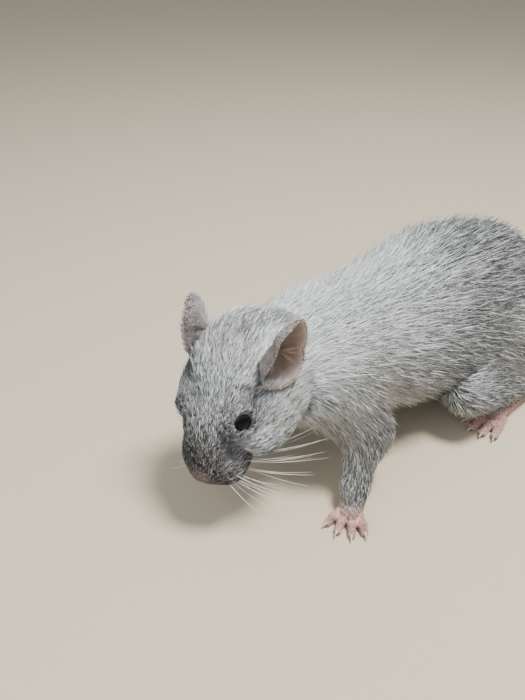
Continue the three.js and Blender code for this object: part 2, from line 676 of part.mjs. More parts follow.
// Tail: one path on the floor, parted into base, middle and brush
const TAIL_PATH = [
  vec(0, 100, 24.5), vec(-0.3, 105.5, 20.5), vec(-1, 113, 13.5), vec(-2.5, 122, 7.2), vec(-6, 134, 4.4),
  vec(-11.5, 149, 3.7), vec(-18.5, 164, 3.3), vec(-26.5, 179, 3), vec(-35.5, 193, 2.6),
];
const tailCurve = new THREE.CatmullRomCurve3(TAIL_PATH);
function tailPiece(from, to, rings, radiusAt, sides) {
  const steps = [...Array(rings).keys()].map((n) => from + ((to - from) * n) / (rings - 1));
  const radii = steps.map(radiusAt);
  return onFloor(loft(steps.map((t) => tailCurve.getPoint(t)), radii, radii, sides));
}
const tailRadius = (t) =>
  THREE.MathUtils.lerp(7, TAIL_ROOT_RADIUS - 0.4, Math.min(1, t / 0.3)) -
  Math.max(0, t - 0.3) * (TAIL_ROOT_RADIUS - 0.4 - 2.6) / 0.7;
const brushCore = (t) => THREE.MathUtils.lerp(3.1, 1.5, Math.max(0, (t - 0.66) / 0.34));

// Locks of the brush: flat tapered bristles in rings, leaning out and lying back along the tail
function brushLocks() {
  const made = [];
  const RINGS = 6;
  const AROUND = 5;
  for (let ring = 0; ring < RINGS; ring++) {
    const t = THREE.MathUtils.lerp(0.675, 0.97, ring / (RINGS - 1));
    const centre = tailCurve.getPoint(t);
    const along = tailCurve.getTangent(t);
    const level = new THREE.Vector3().crossVectors(along, vec(0, 0, 1)).normalize();
    const upward = new THREE.Vector3().crossVectors(level, along).normalize();
    for (let n = 0; n < AROUND; n++) {
      const share = (n + (ring % 2 ? 0.5 : 0)) / AROUND;
      const angle = degrees(-35) + degrees(250) * Math.min(1, share * 1.1);
      const radial = level.clone().multiplyScalar(Math.cos(angle)).addScaledVector(upward, Math.sin(angle));
      const draw = 0.85 + 0.3 * drawn();
      const length = LOCK_LENGTH * draw * (0.75 + 0.35 * Math.sin(Math.PI * (ring + 1) / (RINGS + 1)));
      const lean = (BRUSH_RADIUS - brushCore(t)) / LOCK_LENGTH;
      const way = along.clone().addScaledVector(radial, 2.1 * lean).normalize();
      const start = centre.clone().addScaledVector(radial, 0.45 * brushCore(t));
      const path = [0, 0.45, 1].map((share) => {
        const p = start.clone().addScaledVector(way, share * length);
        return p.addScaledVector(radial, -0.9 * lean * length * share * share).setZ(Math.max(p.z, 0.35));
      });
      made.push(loft(path, [2, 1.9, 0.4], [0.5, 0.5, 0.25], 4, radial));
    }
  }
  return made;
}

const cutTail = (t) => {
  const way = tailCurve.getTangent(t);
  return [1, -1].map((side) =>
    beyond(tailCurve.getPoint(t).addScaledVector(way, (side * GAP) / 2), way.clone().multiplyScalar(side)),
  );
};
const [afterBase, beforeBase] = cutTail(0.37);
const [afterMiddle, beforeMiddle] = cutTail(0.66);
add("tail_base", tailPiece(0, 0.42, 12, tailRadius, 12).intersect(behind("tail")).intersect(beforeBase), "coat");
add("tail_middle", tailPiece(0.32, 0.71, 12, tailRadius, 12).intersect(afterBase).intersect(beforeMiddle), "coat");
const core = tailPiece(0.62, 1, 8, brushCore, 8);
const brush = onFloor(unionOf([core, ...brushLocks()])).intersect(afterMiddle);
add("tail_tip", brush, "tail_brush");

const overall = new THREE.Box3().setFromObject(group);
const middle = overall.getCenter(vec(0, 0, 0)).setZ(overall.min.z);
group.position.copy(middle.negate().multiplyScalar(1000).round().divideScalar(1000));

export default group;
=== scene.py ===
# %% [markdown]
# # A blue-grey degu, life size
# A degu is a Chilean rodent with a blunt muzzle, large thin ears and a bristly tail brush. This
# one has the silver "blue" coat. Its body is one smooth skin, and everything that makes it look
# alive grows on that skin: some two hundred thousand fine tufts, stiff whiskers, wet dark eyes.
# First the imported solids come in. They fix the size and the place of everything that follows.

import math

import bmesh
import bpy
import numpy as np
from mathutils import Matrix, Vector


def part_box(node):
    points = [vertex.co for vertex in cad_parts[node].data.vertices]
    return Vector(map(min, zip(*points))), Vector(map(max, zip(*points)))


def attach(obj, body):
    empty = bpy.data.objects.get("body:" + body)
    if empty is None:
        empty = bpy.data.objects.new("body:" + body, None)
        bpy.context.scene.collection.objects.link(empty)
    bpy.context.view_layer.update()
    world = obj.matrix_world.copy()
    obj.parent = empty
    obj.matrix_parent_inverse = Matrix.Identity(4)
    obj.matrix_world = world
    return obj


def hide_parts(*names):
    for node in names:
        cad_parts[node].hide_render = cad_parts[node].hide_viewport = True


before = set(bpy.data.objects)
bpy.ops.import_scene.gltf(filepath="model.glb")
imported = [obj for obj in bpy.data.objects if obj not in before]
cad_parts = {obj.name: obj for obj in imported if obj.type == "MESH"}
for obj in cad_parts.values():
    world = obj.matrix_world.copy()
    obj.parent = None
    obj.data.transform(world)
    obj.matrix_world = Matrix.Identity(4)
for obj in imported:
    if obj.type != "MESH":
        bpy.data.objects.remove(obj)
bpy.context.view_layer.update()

# %% [markdown]
# ## Measures
# Every length is in millimetres while the shape is worked out, because a degu is a thing of
# millimetres, and turns to metres when a mesh is made. The body faces -Y and its left is +X. The
# head has a frame of its own, x to the left, y backwards and z up, bent down, turned left and
# tipped a little.

# %% Named sizes of the animal and of its pose
HEAD_LENGTH = 48.0
NOSE_Y = -0.62 * HEAD_LENGTH
TORSO_WIDTH = 51.0
BACK_HEIGHT = 69.0
BELLY_CLEARANCE = 9.0
EYE_RADIUS = 3.9
EYE_PLACE = np.array([8.3, -7.5, 5.0])
EYE_WAY = np.array([0.83, -0.3, 0.47])
HINDFOOT_LENGTH = 35.0
TAIL_ROOT_RADIUS = 5.0
LEFT, RIGHT = 1.0, -1.0
SIDES = ((LEFT, "left"), (RIGHT, "right"))

HEAD_PLACE = np.array([4.5, -25.2, 45.0])
HEAD_TURNED, HEAD_BENT, HEAD_TIPPED = 23, 51.8, -2
HEAD_AXES = np.array(
    Matrix.Rotation(math.radians(HEAD_TURNED), 3, "Z")
    @ Matrix.Rotation(math.radians(HEAD_BENT), 3, "X")
    @ Matrix.Rotation(math.radians(HEAD_TIPPED), 3, "Y")
)


def on_head(points):
    """Points of the head's frame, in the body's frame."""
    return np.asarray(points, float) @ HEAD_AXES.T + HEAD_PLACE


def in_head(points):
    """Points of the body's frame, in the head's frame."""
    return (points - HEAD_PLACE) @ HEAD_AXES


def unit(vectors):
    """Vectors of the same directions with a length of 1."""
    vectors = np.asarray(vectors, float)
    return vectors / np.maximum(np.linalg.norm(vectors, axis=-1, keepdims=True), 1e-9)


def ease(value, low, high):
    """A smooth step from 0 at low to 1 at high."""
    share = np.clip((value - low) / (high - low), 0, 1)
    return share * share * (3 - 2 * share)


def mirrored(place, side):
    """A place given for the left, on either side."""
    return np.asarray(place, float) * (side, 1, 1)


def eye_gap(local, side):
    """Distance to the middle of an eye, in the head's frame."""
    return np.linalg.norm(local - mirrored(EYE_PLACE, side), axis=1)


low, high = (np.array(corner, float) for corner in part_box("eye_left"))
SHIFT = (low + high) * 500 - on_head(EYE_PLACE)
print("solids are shifted by", np.round(SHIFT, 3), "mm from the working frame")

# %% [markdown]
# ## The form of the body
# Flesh has no hard edges, so the body is a set of simple masses that melt into each other: lumps
# (ellipsoids) for skull, cheeks, ribs and rump, and tapers (limbs with two round ends) for legs,
# neck and tail. Each gives the distance to its surface, and a smooth minimum joins them. Modelling
# by subdivision from a box would work too, but masses keep every muscle a named, adjustable size.

# %% Lumps and tapers
FELT_TO = 16.0


class Lump:
    """An ellipsoid, tilted by its pitch in degrees, with the way that hair lies on it."""

    def __init__(self, centre, radii, blend, head=False, pitch=0.0, lie=(0, 1, -0.28)):
        turn = np.array(Matrix.Rotation(math.radians(pitch), 3, "X"))
        self.lie = unit(lie)
        self.axes = HEAD_AXES @ turn if head else turn
        self.centre = on_head(centre) if head else np.array(centre, float)
        self.radii = np.array(radii, float)
        self.blend = blend
        self.reach = self.radii.max() + FELT_TO

    def distance(self, points):
        local = (points - self.centre) @ self.axes
        near = np.linalg.norm(local / self.radii, axis=1)
        slope = np.linalg.norm(local / self.radii**2, axis=1)
        return near * (near - 1) / np.maximum(slope, 1e-9)


class Taper:
    """A limb with two round ends; hair lies along it."""

    def __init__(self, start, end, start_radius, end_radius, blend):
        self.start = np.array(start, float)
        self.along = np.array(end, float) - self.start
        self.lie = unit(self.along)
        self.radii = (start_radius, end_radius)
        self.blend = blend
        self.centre = self.start + self.along / 2
        self.reach = np.linalg.norm(self.along) / 2 + max(self.radii) + FELT_TO

    def distance(self, points):
        away = points - self.start
        share = np.clip(away @ self.along / (self.along @ self.along), 0, 1)
        gap = np.linalg.norm(away - share[:, None] * self.along, axis=1)
        return gap - (self.radii[0] + (self.radii[1] - self.radii[0]) * share)


def foot_way(turn):
    """The way a foot points when it is turned out by some degrees."""
    return np.array([math.sin(math.radians(turn)), -math.cos(math.radians(turn)), 0.0])


print("a foot turned out by 38 degrees points", foot_way(38).round(3))

# %% Trunk and neck of a standing degu
half_width = TORSO_WIDTH / 2
half_depth = (BACK_HEIGHT - BELLY_CLEARANCE) / 2
torso = [
    Lump((0, 50, BELLY_CLEARANCE + 0.9 * half_depth), (half_width, 32, 0.9 * half_depth), 6),
    Lump((0, 25, 37.5), (0.85 * half_width, 27, 0.76 * half_depth), 12),
    Lump((0, 6, 38), (0.74 * half_width, 19, 0.61 * half_depth), 12),
    Lump((0, 61, BACK_HEIGHT - 24.5), (0.82 * half_width, 29, 24), 10),
    Lump((0, 81, 37), (0.9 * half_width, 22.5, 0.86 * half_depth), 10),
    Lump((0, 3, 33), (14, 13, 14), 8),
]
neck = [Taper((0, 5, 40), (2.4, -17, 46), 18, 14.6, 9)]
neck[0].lie = unit((-0.1, 1, -0.2))
print("trunk:", len(torso), "lumps between", BELLY_CLEARANCE, "and", BACK_HEIGHT, "mm")

# %% [markdown]
# ## Legs and feet
# A degu stands with bent elbows and knees, and its long hind soles lie flat on the ground. Each
# foot shows four toes with round pads and a claw. Legs and toes are chains of tapers, so moving
# one joint in the tables below moves all that hangs on it.

# %% Joints and toes
FORE = {
    LEFT: {"shoulder": (13, 4, 36), "elbow": (22, 11, 22), "wrist": (29.5, 2, 8), "turn": 38},
    RIGHT: {"shoulder": (-13, 4, 36), "elbow": (-19, 8, 22), "wrist": (-17, -5, 8), "turn": -8},
}
HIND = {
    LEFT: {"knee": (24, 56, 19), "hock": (23, 92, 7), "turn": 10},
    RIGHT: {"knee": (-24, 54, 19), "hock": (-23, 90, 7), "turn": -10},
}
FORE_DIGITS = {"lengths": (5.2, 6.6, 6.6, 5.2), "spread": 56, "radius": 1.35, "lift": 1.9}
HIND_DIGITS = {"lengths": (8.4, 10.4, 10.4, 8.8), "spread": 26, "radius": 1.6, "lift": 2.1}
PALM_LENGTH = 5.4
SOLE_LENGTH = 0.62 * HINDFOOT_LENGTH


def digit_lines(start, turn, lengths, spread, radius, lift):
    """Start, knuckle and tip of each toe, and the way it points."""
    lines = []
    for number, length in enumerate(lengths):
        share = number / (len(lengths) - 1) - 0.5
        way = foot_way(turn + spread * share)
        root = np.array(start) + foot_way(turn + 90) * share * 2 * radius * (len(lengths) - 1) * 0.78
        root[2] = lift
        knuckle = root + 0.52 * length * way + (0, 0, 0.35)
        tip = root + length * way
        tip[2] = 0.8 * radius
        lines.append((root, knuckle, tip, way))
    return lines


def toes(lines, radius):
    """Two joints and a pad for each toe."""
    masses = []
    for root, knuckle, tip, way in lines:
        pad = knuckle * (1, 1, 0) + (0, 0, 0.75 * radius)
        masses += [
            Taper(root, knuckle, radius, 0.86 * radius, 1.1),
            Taper(knuckle, tip, 0.9 * radius, 0.84 * radius, 0.9),
            Lump(pad, (0.8 * radius, 1.2 * radius, 0.72 * radius), 0.6),
        ]
    return masses


def foreleg(shoulder, elbow, wrist, turn):
    """Upper arm, forearm, wrist and palm."""
    palm = np.array(wrist) + 3 * foot_way(turn)
    palm[2] = 2.6
    knuckles = palm + 2.6 * foot_way(turn)
    return [
        Taper(shoulder, elbow, 10.5, 7.8, 9),
        Taper(elbow, wrist, 6.6, 4, 6),
        Taper(wrist, palm, 3.9, 3.2, 3),
        Taper(palm, knuckles, 3.3, 2.9, 2),
    ]


def hindleg(knee, hock, turn, side):
    """Thigh, shank and the long sole."""
    ball = np.array(hock) + SOLE_LENGTH * foot_way(turn)
    ball[2] = 2.9
    heel = (hock[0], hock[1], 3.5)
    return [
        Lump((side * 17.5, 74, 27), (11, 21, 19), 8, pitch=-16, lie=(0, 0.8, -0.6)),
        Taper(knee, hock, 9.5, 5.4, 8),
        Taper(heel, ball, 4.1, 3.7, 3),
    ]


def fore_toes(side):
    turn = FORE[side]["turn"]
    start = np.array(FORE[side]["wrist"]) + PALM_LENGTH * foot_way(turn)
    return digit_lines(start, turn, **FORE_DIGITS)


def hind_toes(side):
    turn = HIND[side]["turn"]
    start = np.array(HIND[side]["hock"]) + SOLE_LENGTH * foot_way(turn)
    return digit_lines(start, turn, **HIND_DIGITS)


print("toes on a forefoot:", len(fore_toes(LEFT)), "and on a hind foot:", len(hind_toes(LEFT)))

# %% The head
def pair(centre, radii, blend):
    """A lump on the left of the head and its mirror image on the right."""
    return [Lump(mirrored(centre, side), radii, blend, head=True) for side in (LEFT, RIGHT)]


head = [
    Lump((0, 5, 1), (13.5, 14.5, 12.5), 8, head=True),
    Lump((0, -9, 1.2), (9.8, 14, 8.4), 5, head=True),
    Lump((0, NOSE_Y + 10, -2.8), (8.3, 9.6, 7.6), 4, head=True),
    Lump((0, NOSE_Y + 3.2, -2.6), (4.8, 3.6, 4.4), 2.5, head=True),
    *pair((10.5, -4.6, -5.8), (7.8, 12.8, 9.8), 5),
    *pair((5.3, NOSE_Y + 8, -4.6), (5.2, 6.8, 5.6), 2.5),
    *pair((7.7, -7.4, 4.6), (4.7, 6.4, 4.6), 3),
    *pair((10, 7.5, 4.2), (4.6, 5, 5), 4),
    Lump((0, -7.5, -9.6), (8.6, 14, 7), 4, head=True),
    Lump((0, NOSE_Y + 9, -10.4), (4.2, 5, 3), 2.5, head=True),
    *pair(EYE_PLACE, (4.7, 4.7, 4.7), 1.8),
]
print("head:", len(head), "lumps")

# %% [markdown]
# ## Tail
# The tail is about as long as the trunk and lies on the ground in a soft bend. A curve through a few
# knots gives its path, and short tapers along the path give its thickness.

# %% The tail's path and its masses
TAIL_KNOTS = np.array([
    (0, 100, 24.5), (-0.3, 105.5, 20.5), (-1, 113, 13.5), (-2.5, 122, 7.2), (-6, 134, 4.4),
    (-11.5, 149, 3.7), (-18.5, 164, 3.3), (-26.5, 179, 3), (-35.5, 193, 2.6),
])


def soft_curve(a, b, c, d, t):
    """From b to c while t runs from 0 to 1, bearing on the neighbours a and d."""
    return 0.5 * (2 * b + (c - a) * t + (2 * a - 5 * b + 4 * c - d) * t**2 + (3 * b - a - 3 * c + d) * t**3)


def smooth_path(knots, share):
    """Points on a soft curve through the knots, share running from 0 to 1."""
    knots = np.asarray(knots, float)
    padded = np.vstack([2 * knots[0] - knots[1], knots, 2 * knots[-1] - knots[-2]])
    place = np.clip(share, 0, 1) * (len(knots) - 1)
    step = np.minimum(place.astype(int), len(knots) - 2)
    return soft_curve(*(padded[step + k] for k in range(4)), (place - step)[:, None])


def tail_radius(t):
    """Thick at the rump, even along the bare middle, and to a point inside the brush."""
    slim = TAIL_ROOT_RADIUS - 0.4
    bare = 7 + (slim - 7) * np.minimum(1, t / 0.3) - np.maximum(0, t - 0.3) * (slim - 2.6) / 0.7
    return np.where(t < 0.66, bare, np.minimum(bare, 3.1 - 1.6 * (t - 0.66) / 0.34))


tail_steps = np.linspace(0.0, 1, 22)
tail_points = smooth_path(TAIL_KNOTS, tail_steps)
tail_radii = tail_radius(tail_steps)
tail = [Taper((0, 94, 29), (0, 109, 18), 9, TAIL_ROOT_RADIUS + 1, 8)] + [
    Taper(tail_points[n], tail_points[n + 1], tail_radii[n], tail_radii[n + 1], 1.5)
    for n in range(len(tail_steps) - 1)
]
GROUPS = {
    "torso": torso,
    "neck": neck,
    "fore_left": foreleg(**FORE[LEFT]) + toes(fore_toes(LEFT), FORE_DIGITS["radius"]),
    "fore_right": foreleg(**FORE[RIGHT]) + toes(fore_toes(RIGHT), FORE_DIGITS["radius"]),
    "hind_left": hindleg(**HIND[LEFT], side=LEFT) + toes(hind_toes(LEFT), HIND_DIGITS["radius"]),
    "hind_right": hindleg(**HIND[RIGHT], side=RIGHT) + toes(hind_toes(RIGHT), HIND_DIGITS["radius"]),
    "tail": tail,
    "head": head,
}
print("masses:", {name: len(masses) for name, masses in GROUPS.items()})

# %% [markdown]
# ## Coat depth
# A degu's coat hides the flesh under it: about 3 mm on the back, less than 1 mm on the face and
# almost nothing on nose and feet. The solids stand for flesh and coat together, so the skin is
# drawn that much further in, and the tips of the hairs come back out to the solids' outline.

# %% Distance to the melted masses, and how deep the coat is
FAR = 60.0


def melted(points):
    """Distance to the body's outline, and to each group of masses by itself."""
    near = np.full(len(points), FAR)
    kin = {name: np.full(len(points), FAR) for name in GROUPS}
    for name, masses in GROUPS.items():
        for mass in masses:
            close = np.flatnonzero(((points - mass.centre) ** 2).sum(1) < mass.reach**2)
            if not len(close):
                continue
            here, there = near[close], mass.distance(points[close])
            overlap = np.maximum(mass.blend - np.abs(here - there), 0) / mass.blend
            near[close] = np.minimum(here, there) - overlap**2 * mass.blend / 4
            kin[name][close] = np.minimum(kin[name][close], there)
    return near, kin


def shares(kin, softness=1.6):
    """How much each group of masses owns a point, adding up to 1."""
    pull = {name: np.exp(-np.clip(distance, -6, 40) / softness) for name, distance in kin.items()}
    total = sum(pull.values())
    return {name: value / total for name, value in pull.items()}


def by_part(points, kin, values):
    """A value that differs from part to part and changes softly between them."""
    own = shares(kin)
    local = in_head(points)
    z = points[:, 2]
    back = ease(local[:, 1], NOSE_Y + 1, 10)
    face = np.interp(local[:, 1], [NOSE_Y, NOSE_Y + 5, -14, -4, 10], values["head"])
    for side in (LEFT, RIGHT):
        lid = 1 - ease(eye_gap(local, side), 4.6, 8)
        face = face + (values["lid"] - face) * lid
    result = own["head"] * face + own["neck"] * values["neck"] + own["torso"] * values["torso"]
    for side in ("left", "right"):
        result += own[f"fore_{side}"] * np.interp(z, [3, 9, 20, 34], values["leg"])
        result += own[f"hind_{side}"] * np.interp(z, [3, 8, 15, 30], values["leg"])
    return result + own["tail"] * np.interp(points[:, 1], [100, 122, 200], values["tail"])


# In millimetres: the head from nose to nape, a leg from sole to hip, the tail from root to tip
COAT_DEPTH = {
    "head": (0.2, 0.5, 0.8, 1.0, 1.9),
    "lid": 0.35,
    "neck": 2.7,
    "torso": 2.9,
    "leg": (0.08, 0.6, 1.4, 2.6),
    "tail": (2.4, 0.8, 0.35),
}
print("the coat is", COAT_DEPTH["torso"], "mm deep on the trunk")

# %% [markdown]
# ## Mouth, nostrils, eyes and ear hollows
# Some places are cut into the head: a mouth line that runs back under the cheeks, the groove of
# the upper lip, two comma-shaped nostrils, an almond socket for each eye and a hollow that each
# ear sits in. Sculpting them would tie them to one mesh. Cut from the distances, they stay sharp
# at any fineness and can be moved by changing one number.

# %% Carved places: mouth line, nostrils, groove of the lip, cups under the ears
MOUTH_GAP, LIP_GAP, NOSTRIL_GAP = 0.45, 0.28, 0.42
SLIT_HALF_LENGTH, SLIT_HALF_HEIGHT = 3.6, 3.05
NOSTRIL = [(1.5, NOSE_Y - 0.1, -2.9), (2.3, NOSE_Y + 0.1, -1.9), (2.9, NOSE_Y + 1.2, -1.2)]
EARS = {
    LEFT: {"root": (12.2, 7, 5.8), "along": (0.47, 0.74, 0.47), "facing": (0.84, -0.52, 0)},
    RIGHT: {"root": (-11.8, 6.6, 4.1), "along": (0.13, 0.62, 0.77), "facing": (-0.93, -0.19, 0.14)},
}
MOUTH = [(8, 11.5, -9.2), (5.4, 6.2, -8.8), (2.6, 3.6, -7.6), (0, 3, -6.8)]
mouth_half = np.array(MOUTH) + (0, NOSE_Y, 0)
mouth_line = np.vstack([mouth_half, mirrored(mouth_half[-2::-1], RIGHT)])
lip_groove = np.array([(0, NOSE_Y - 0.3, -3.2), (0, NOSE_Y + 1.6, -5.2), (0, NOSE_Y + 3, -6.8)])


def ear_axes(side):
    """Root of an ear, the way it points, the way it opens and the way to its back edge."""
    ear = EARS[side]
    axis = unit(ear["along"])
    out = np.array(ear["facing"], float)
    out = unit(out - axis * (out @ axis))
    return np.array(ear["root"], float), axis, out, np.cross(axis, out) * side


def ear_hollow(local, side):
    """Below 1 inside the hollow that the bowl of an ear sits in."""
    root, axis, out, across = ear_axes(side)
    away = local - (root + 3.4 * axis + 1.6 * out + 0.8 * across)
    spot = np.stack([away @ axis, away @ across, away @ out], 1) / (5.4, 5.2, 4.2)
    return np.linalg.norm(spot, axis=1)


def to_line(points, line):
    """Distance to a line of straight pieces."""
    best = np.full(len(points), 1e9)
    for start, end in zip(line[:-1], line[1:]):
        along = end - start
        share = np.clip((points - start) @ along / (along @ along), 0, 1)
        best = np.minimum(best, np.linalg.norm(points - start - share[:, None] * along, axis=1))
    return best


def carved(local):
    """Distance to what is cut out of the head, in the head's frame."""
    cut = np.minimum(to_line(local, mouth_line) - MOUTH_GAP, to_line(local, lip_groove) - LIP_GAP)
    for side in (LEFT, RIGHT):
        cut = np.minimum(cut, to_line(local, mirrored(NOSTRIL, side)) - NOSTRIL_GAP)
        cut = np.minimum(cut, (ear_hollow(local, side) - 1) * 3.6)
    return cut


print("mouth line through", len(mouth_line), "places, nostrils", 2 * NOSTRIL_GAP, "mm wide")

# %% Eye sockets, and the distance to the finished skin
def eye_axes(side):
    """Centre of an eye, the way it looks, along its slit and across it, in the head's frame."""
    way = unit(mirrored(EYE_WAY, side))
    slit = np.array([0, 1, 0.28])
    slit = unit(slit - way * (slit @ way))
    return mirrored(EYE_PLACE, side), way, slit, np.cross(way, slit)


def slit_size(local, side, reach=1.0):
    """How far out of the almond slit a point lies: below 1 is inside, along with its distance."""
    centre, way, slit, rise = eye_axes(side)
    away = local - centre
    spot = np.stack([away @ slit, away @ rise, away @ way - 5.1], 1)
    spot = spot / (SLIT_HALF_LENGTH * reach, SLIT_HALF_HEIGHT * reach, 6)
    return np.linalg.norm(spot, axis=1), np.linalg.norm(away, axis=1)


def pushed_in(local):
    """Points inside an eye's slit, moved back to a bowl behind the eyeball's front."""
    for side in (LEFT, RIGHT):
        size, ball = slit_size(local, side)
        centre = eye_axes(side)[0]
        share = (1 - ease(size, 0.92, 1.02)) * (ball < 7)
        radius = ball + (3.5 - ball) * share
        local = centre + (local - centre) * (radius / ball)[:, None]
    return local


def skin_distance(points, fine=False):
    """Distance to the skin, which lies under the outline by the coat's depth."""
    near, kin = melted(points)
    skin = near + by_part(points, kin, COAT_DEPTH)
    on_face = np.flatnonzero((np.abs(skin) < 6) & (kin["head"] < 8))
    if fine and len(on_face):
        local = in_head(points[on_face])
        face, cut = skin[on_face], -carved(local)
        overlap = np.maximum(0.5 - np.abs(face - cut), 0) / 0.5
        skin[on_face] = np.maximum(face, cut) + overlap**2 * 0.125
    return skin


print("distance from the skin in the middle of the trunk:", skin_distance(np.array([(0, 50, 40)])))

# %% [markdown]
# ## One skin
# The skin is found on a fine grid: every cell that the surface crosses gets one point, and
# neighbouring points are joined by squares. The points are then pulled onto the exact surface.
# This gives an even mesh with no seam from nose to tail, which suits a thing covered in hair
# better than hand-placed loops would.

# %% The grid, and the net of squares through it
AXES = np.eye(3, dtype=int)
CORNERS = [np.array((i, j, k)) for i in (0, 1) for j in (0, 1) for k in (0, 1)]
BARELY_INSIDE = -0.02


def block_of(grid, start, shape):
    """The block of a grid that has a shape and starts at a place."""
    return grid[tuple(slice(first, first + count) for first, count in zip(start, shape))]


def grid_values(low, high, step, coarse=4):
    """Distances on a fine grid, worked out only near the surface."""
    cells = np.ceil((high - low) / (step * coarse)).astype(int) + 1
    axes = [low[k] + step * coarse * np.arange(cells[k] + 1) for k in range(3)]
    wide = np.stack(np.meshgrid(*axes, indexing="ij"), -1)
    rough = skin_distance(wide.reshape(-1, 3)).reshape(wide.shape[:3])
    corners = np.stack([block_of(rough, corner, cells) for corner in CORNERS])
    crossed = np.abs(corners).min(0) < 1.25 * step * coarse
    fine = block_of(rough, (0, 0, 0), cells)
    for axis in range(3):
        crossed = np.repeat(crossed, coarse, axis)
        fine = np.repeat(fine, coarse, axis)
    fine = fine.copy()
    spots = np.argwhere(crossed)
    fine[crossed] = skin_distance(low + step * spots)
    return fine


def one_sheet_an_edge(values):
    """Fills corners where two sheets of the net would share one edge."""
    for _ in range(6):
        inside = values < 0
        filled = 0
        for one, two in ((AXES[0], AXES[1]), (AXES[1], AXES[2]), (AXES[0], AXES[2])):
            shape = np.array(values.shape) - one - two
            near, aside, above, far = (
                block_of(inside, start, shape) for start in (0 * one, one, two, one + two)
            )
            crossed = (near == far) & (aside == above) & (near != aside)
            for spot in np.argwhere(crossed):
                corners = [spot + one, spot + two] if inside[tuple(spot)] else [spot, spot + one + two]
                lowest = min(corners, key=lambda corner: values[tuple(corner)])
                values[tuple(lowest)] = BARELY_INSIDE
                filled += 1
        if not filled:
            break
    return values


def net_through(values, low, step):
    """One point in each crossed cell and one square round each crossed edge."""
    inside = values < 0
    shape = np.array(values.shape) - 1
    count = np.zeros(shape, np.int8)
    for corner in CORNERS:
        count += block_of(inside, corner, shape)
    mixed = (count > 0) & (count < 8)
    cells = np.argwhere(mixed)
    number = np.full(shape, -1, np.int64)
    number[mixed] = np.arange(len(cells))
    total, crossings = np.zeros((len(cells), 3)), np.zeros(len(cells))
    for corner in CORNERS:
        for way in AXES[corner == 0]:
            here = values[tuple((cells + corner).T)]
            there = values[tuple((cells + corner + way).T)]
            cross = (here < 0) != (there < 0)
            share = np.where(cross, here / np.where(cross, here - there, 1), 0)
            total += cross[:, None] * (corner + share[:, None] * way)
            crossings += cross
    points = low + step * (cells + total / crossings[:, None])
    squares = []
    for axis, way in enumerate(AXES):
        side, other = AXES[(axis + 1) % 3], AXES[(axis + 2) % 3]
        base = np.array(values.shape) - way
        edge = np.argwhere(block_of(inside, 0 * way, base) != block_of(inside, way, base))
        edge = edge[(edge - side - other).min(1) >= 0]
        edge = edge[(edge < shape).all(1)]
        ring = [number[tuple((edge - a).T)] for a in (side + other, other, 0 * side, side)]
        square = np.stack(ring, 1)
        out = inside[tuple(edge.T)]
        square[~out] = square[~out][:, ::-1]
        squares.append(square)
    return points, np.vstack(squares)


print("each cell of the grid has", len(CORNERS), "corners")

# %% The points of the net, pulled onto the skin
def pulled_on(points, turns=2, reach=0.04, fine=True):
    """Points moved along the slope until they lie on the skin."""
    for _ in range(turns):
        value = skin_distance(points, fine)
        slope = np.stack([
            skin_distance(points + step, fine) - skin_distance(points - step, fine)
            for step in reach * np.eye(3)
        ], 1) / (2 * reach)
        steep = np.maximum((slope**2).sum(1), 0.35)
        move = -(value / steep)[:, None] * slope
        points = points + np.clip(move, -0.5, 0.5)
    return points


SKIN_STEP = 0.93
skin_low, skin_high = np.array([-50.0, -64, -2]), np.array([50.0, 200, 84])
values = one_sheet_an_edge(grid_values(skin_low, skin_high, SKIN_STEP))
skin_points, skin_squares = net_through(values, skin_low, SKIN_STEP)
print("net:", len(skin_points), "points,", len(skin_squares), "squares")

# %% Meshes from arrays
def new_mesh(name, points, faces):
    """A mesh from points in millimetres and faces of one corner count."""
    mesh = bpy.data.meshes.new(name)
    mesh.vertices.add(len(points))
    mesh.vertices.foreach_set("co", ((points + SHIFT) / 1000).ravel())
    mesh.loops.add(faces.size)
    mesh.loops.foreach_set("vertex_index", faces.ravel())
    mesh.polygons.add(len(faces))
    mesh.polygons.foreach_set("loop_start", np.arange(0, faces.size, faces.shape[1]))
    mesh.update(calc_edges=True)
    return mesh


def new_piece(name, mesh, material, stands_for=()):
    """A visible piece of the model that rides on its one body."""
    piece = bpy.data.objects.new(name, mesh)
    bpy.context.collection.objects.link(piece)
    mesh.materials.append(material)
    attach(piece, "root")
    if stands_for:
        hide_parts(*stands_for)
    return piece


def mesh_points(mesh):
    """Its points, in millimetres of the working frame."""
    flat = np.empty(len(mesh.vertices) * 3)
    mesh.vertices.foreach_get("co", flat)
    return flat.reshape(-1, 3) * 1000 - SHIFT


def set_attribute(mesh, name, values):
    """Keeps one value on each point."""
    mesh.attributes.new(name, "FLOAT", "POINT").data.foreach_set("value", values.astype(np.float32))


def reworked(mesh, change):
    """Opens a mesh for editing, lets a function change it, and writes it back."""
    work = bmesh.new()
    work.from_mesh(mesh)
    change(work)
    work.to_mesh(mesh)
    work.free()
    return mesh


print("meshes before the skin:", len(bpy.data.meshes))

# %% [markdown]
# ## Finer where the eye goes
# One millimetre between points is enough for the back, but a lip or a toe needs a quarter of that.
# Splitting the whole net would cost a million faces, so only the face and the feet are split once,
# and muzzle and eyelids twice. After each split the points are drawn onto the exact skin again.

# %% The net is split finer on the face and the feet, and drawn onto the skin
def split_where(mesh, wanted):
    """Splits the faces whose middle is wanted into four, and keeps the net closed."""
    def split(work):
        middles = np.array([face.calc_center_median() for face in work.faces]) * 1000 - SHIFT
        work.faces.ensure_lookup_table()
        chosen = [work.faces[number] for number in np.flatnonzero(wanted(middles))]
        edges = sorted({edge for face in chosen for edge in face.edges}, key=lambda edge: edge.index)
        bmesh.ops.subdivide_edges(work, edges=edges, cuts=1, use_grid_fill=True)

    reworked(mesh, split)


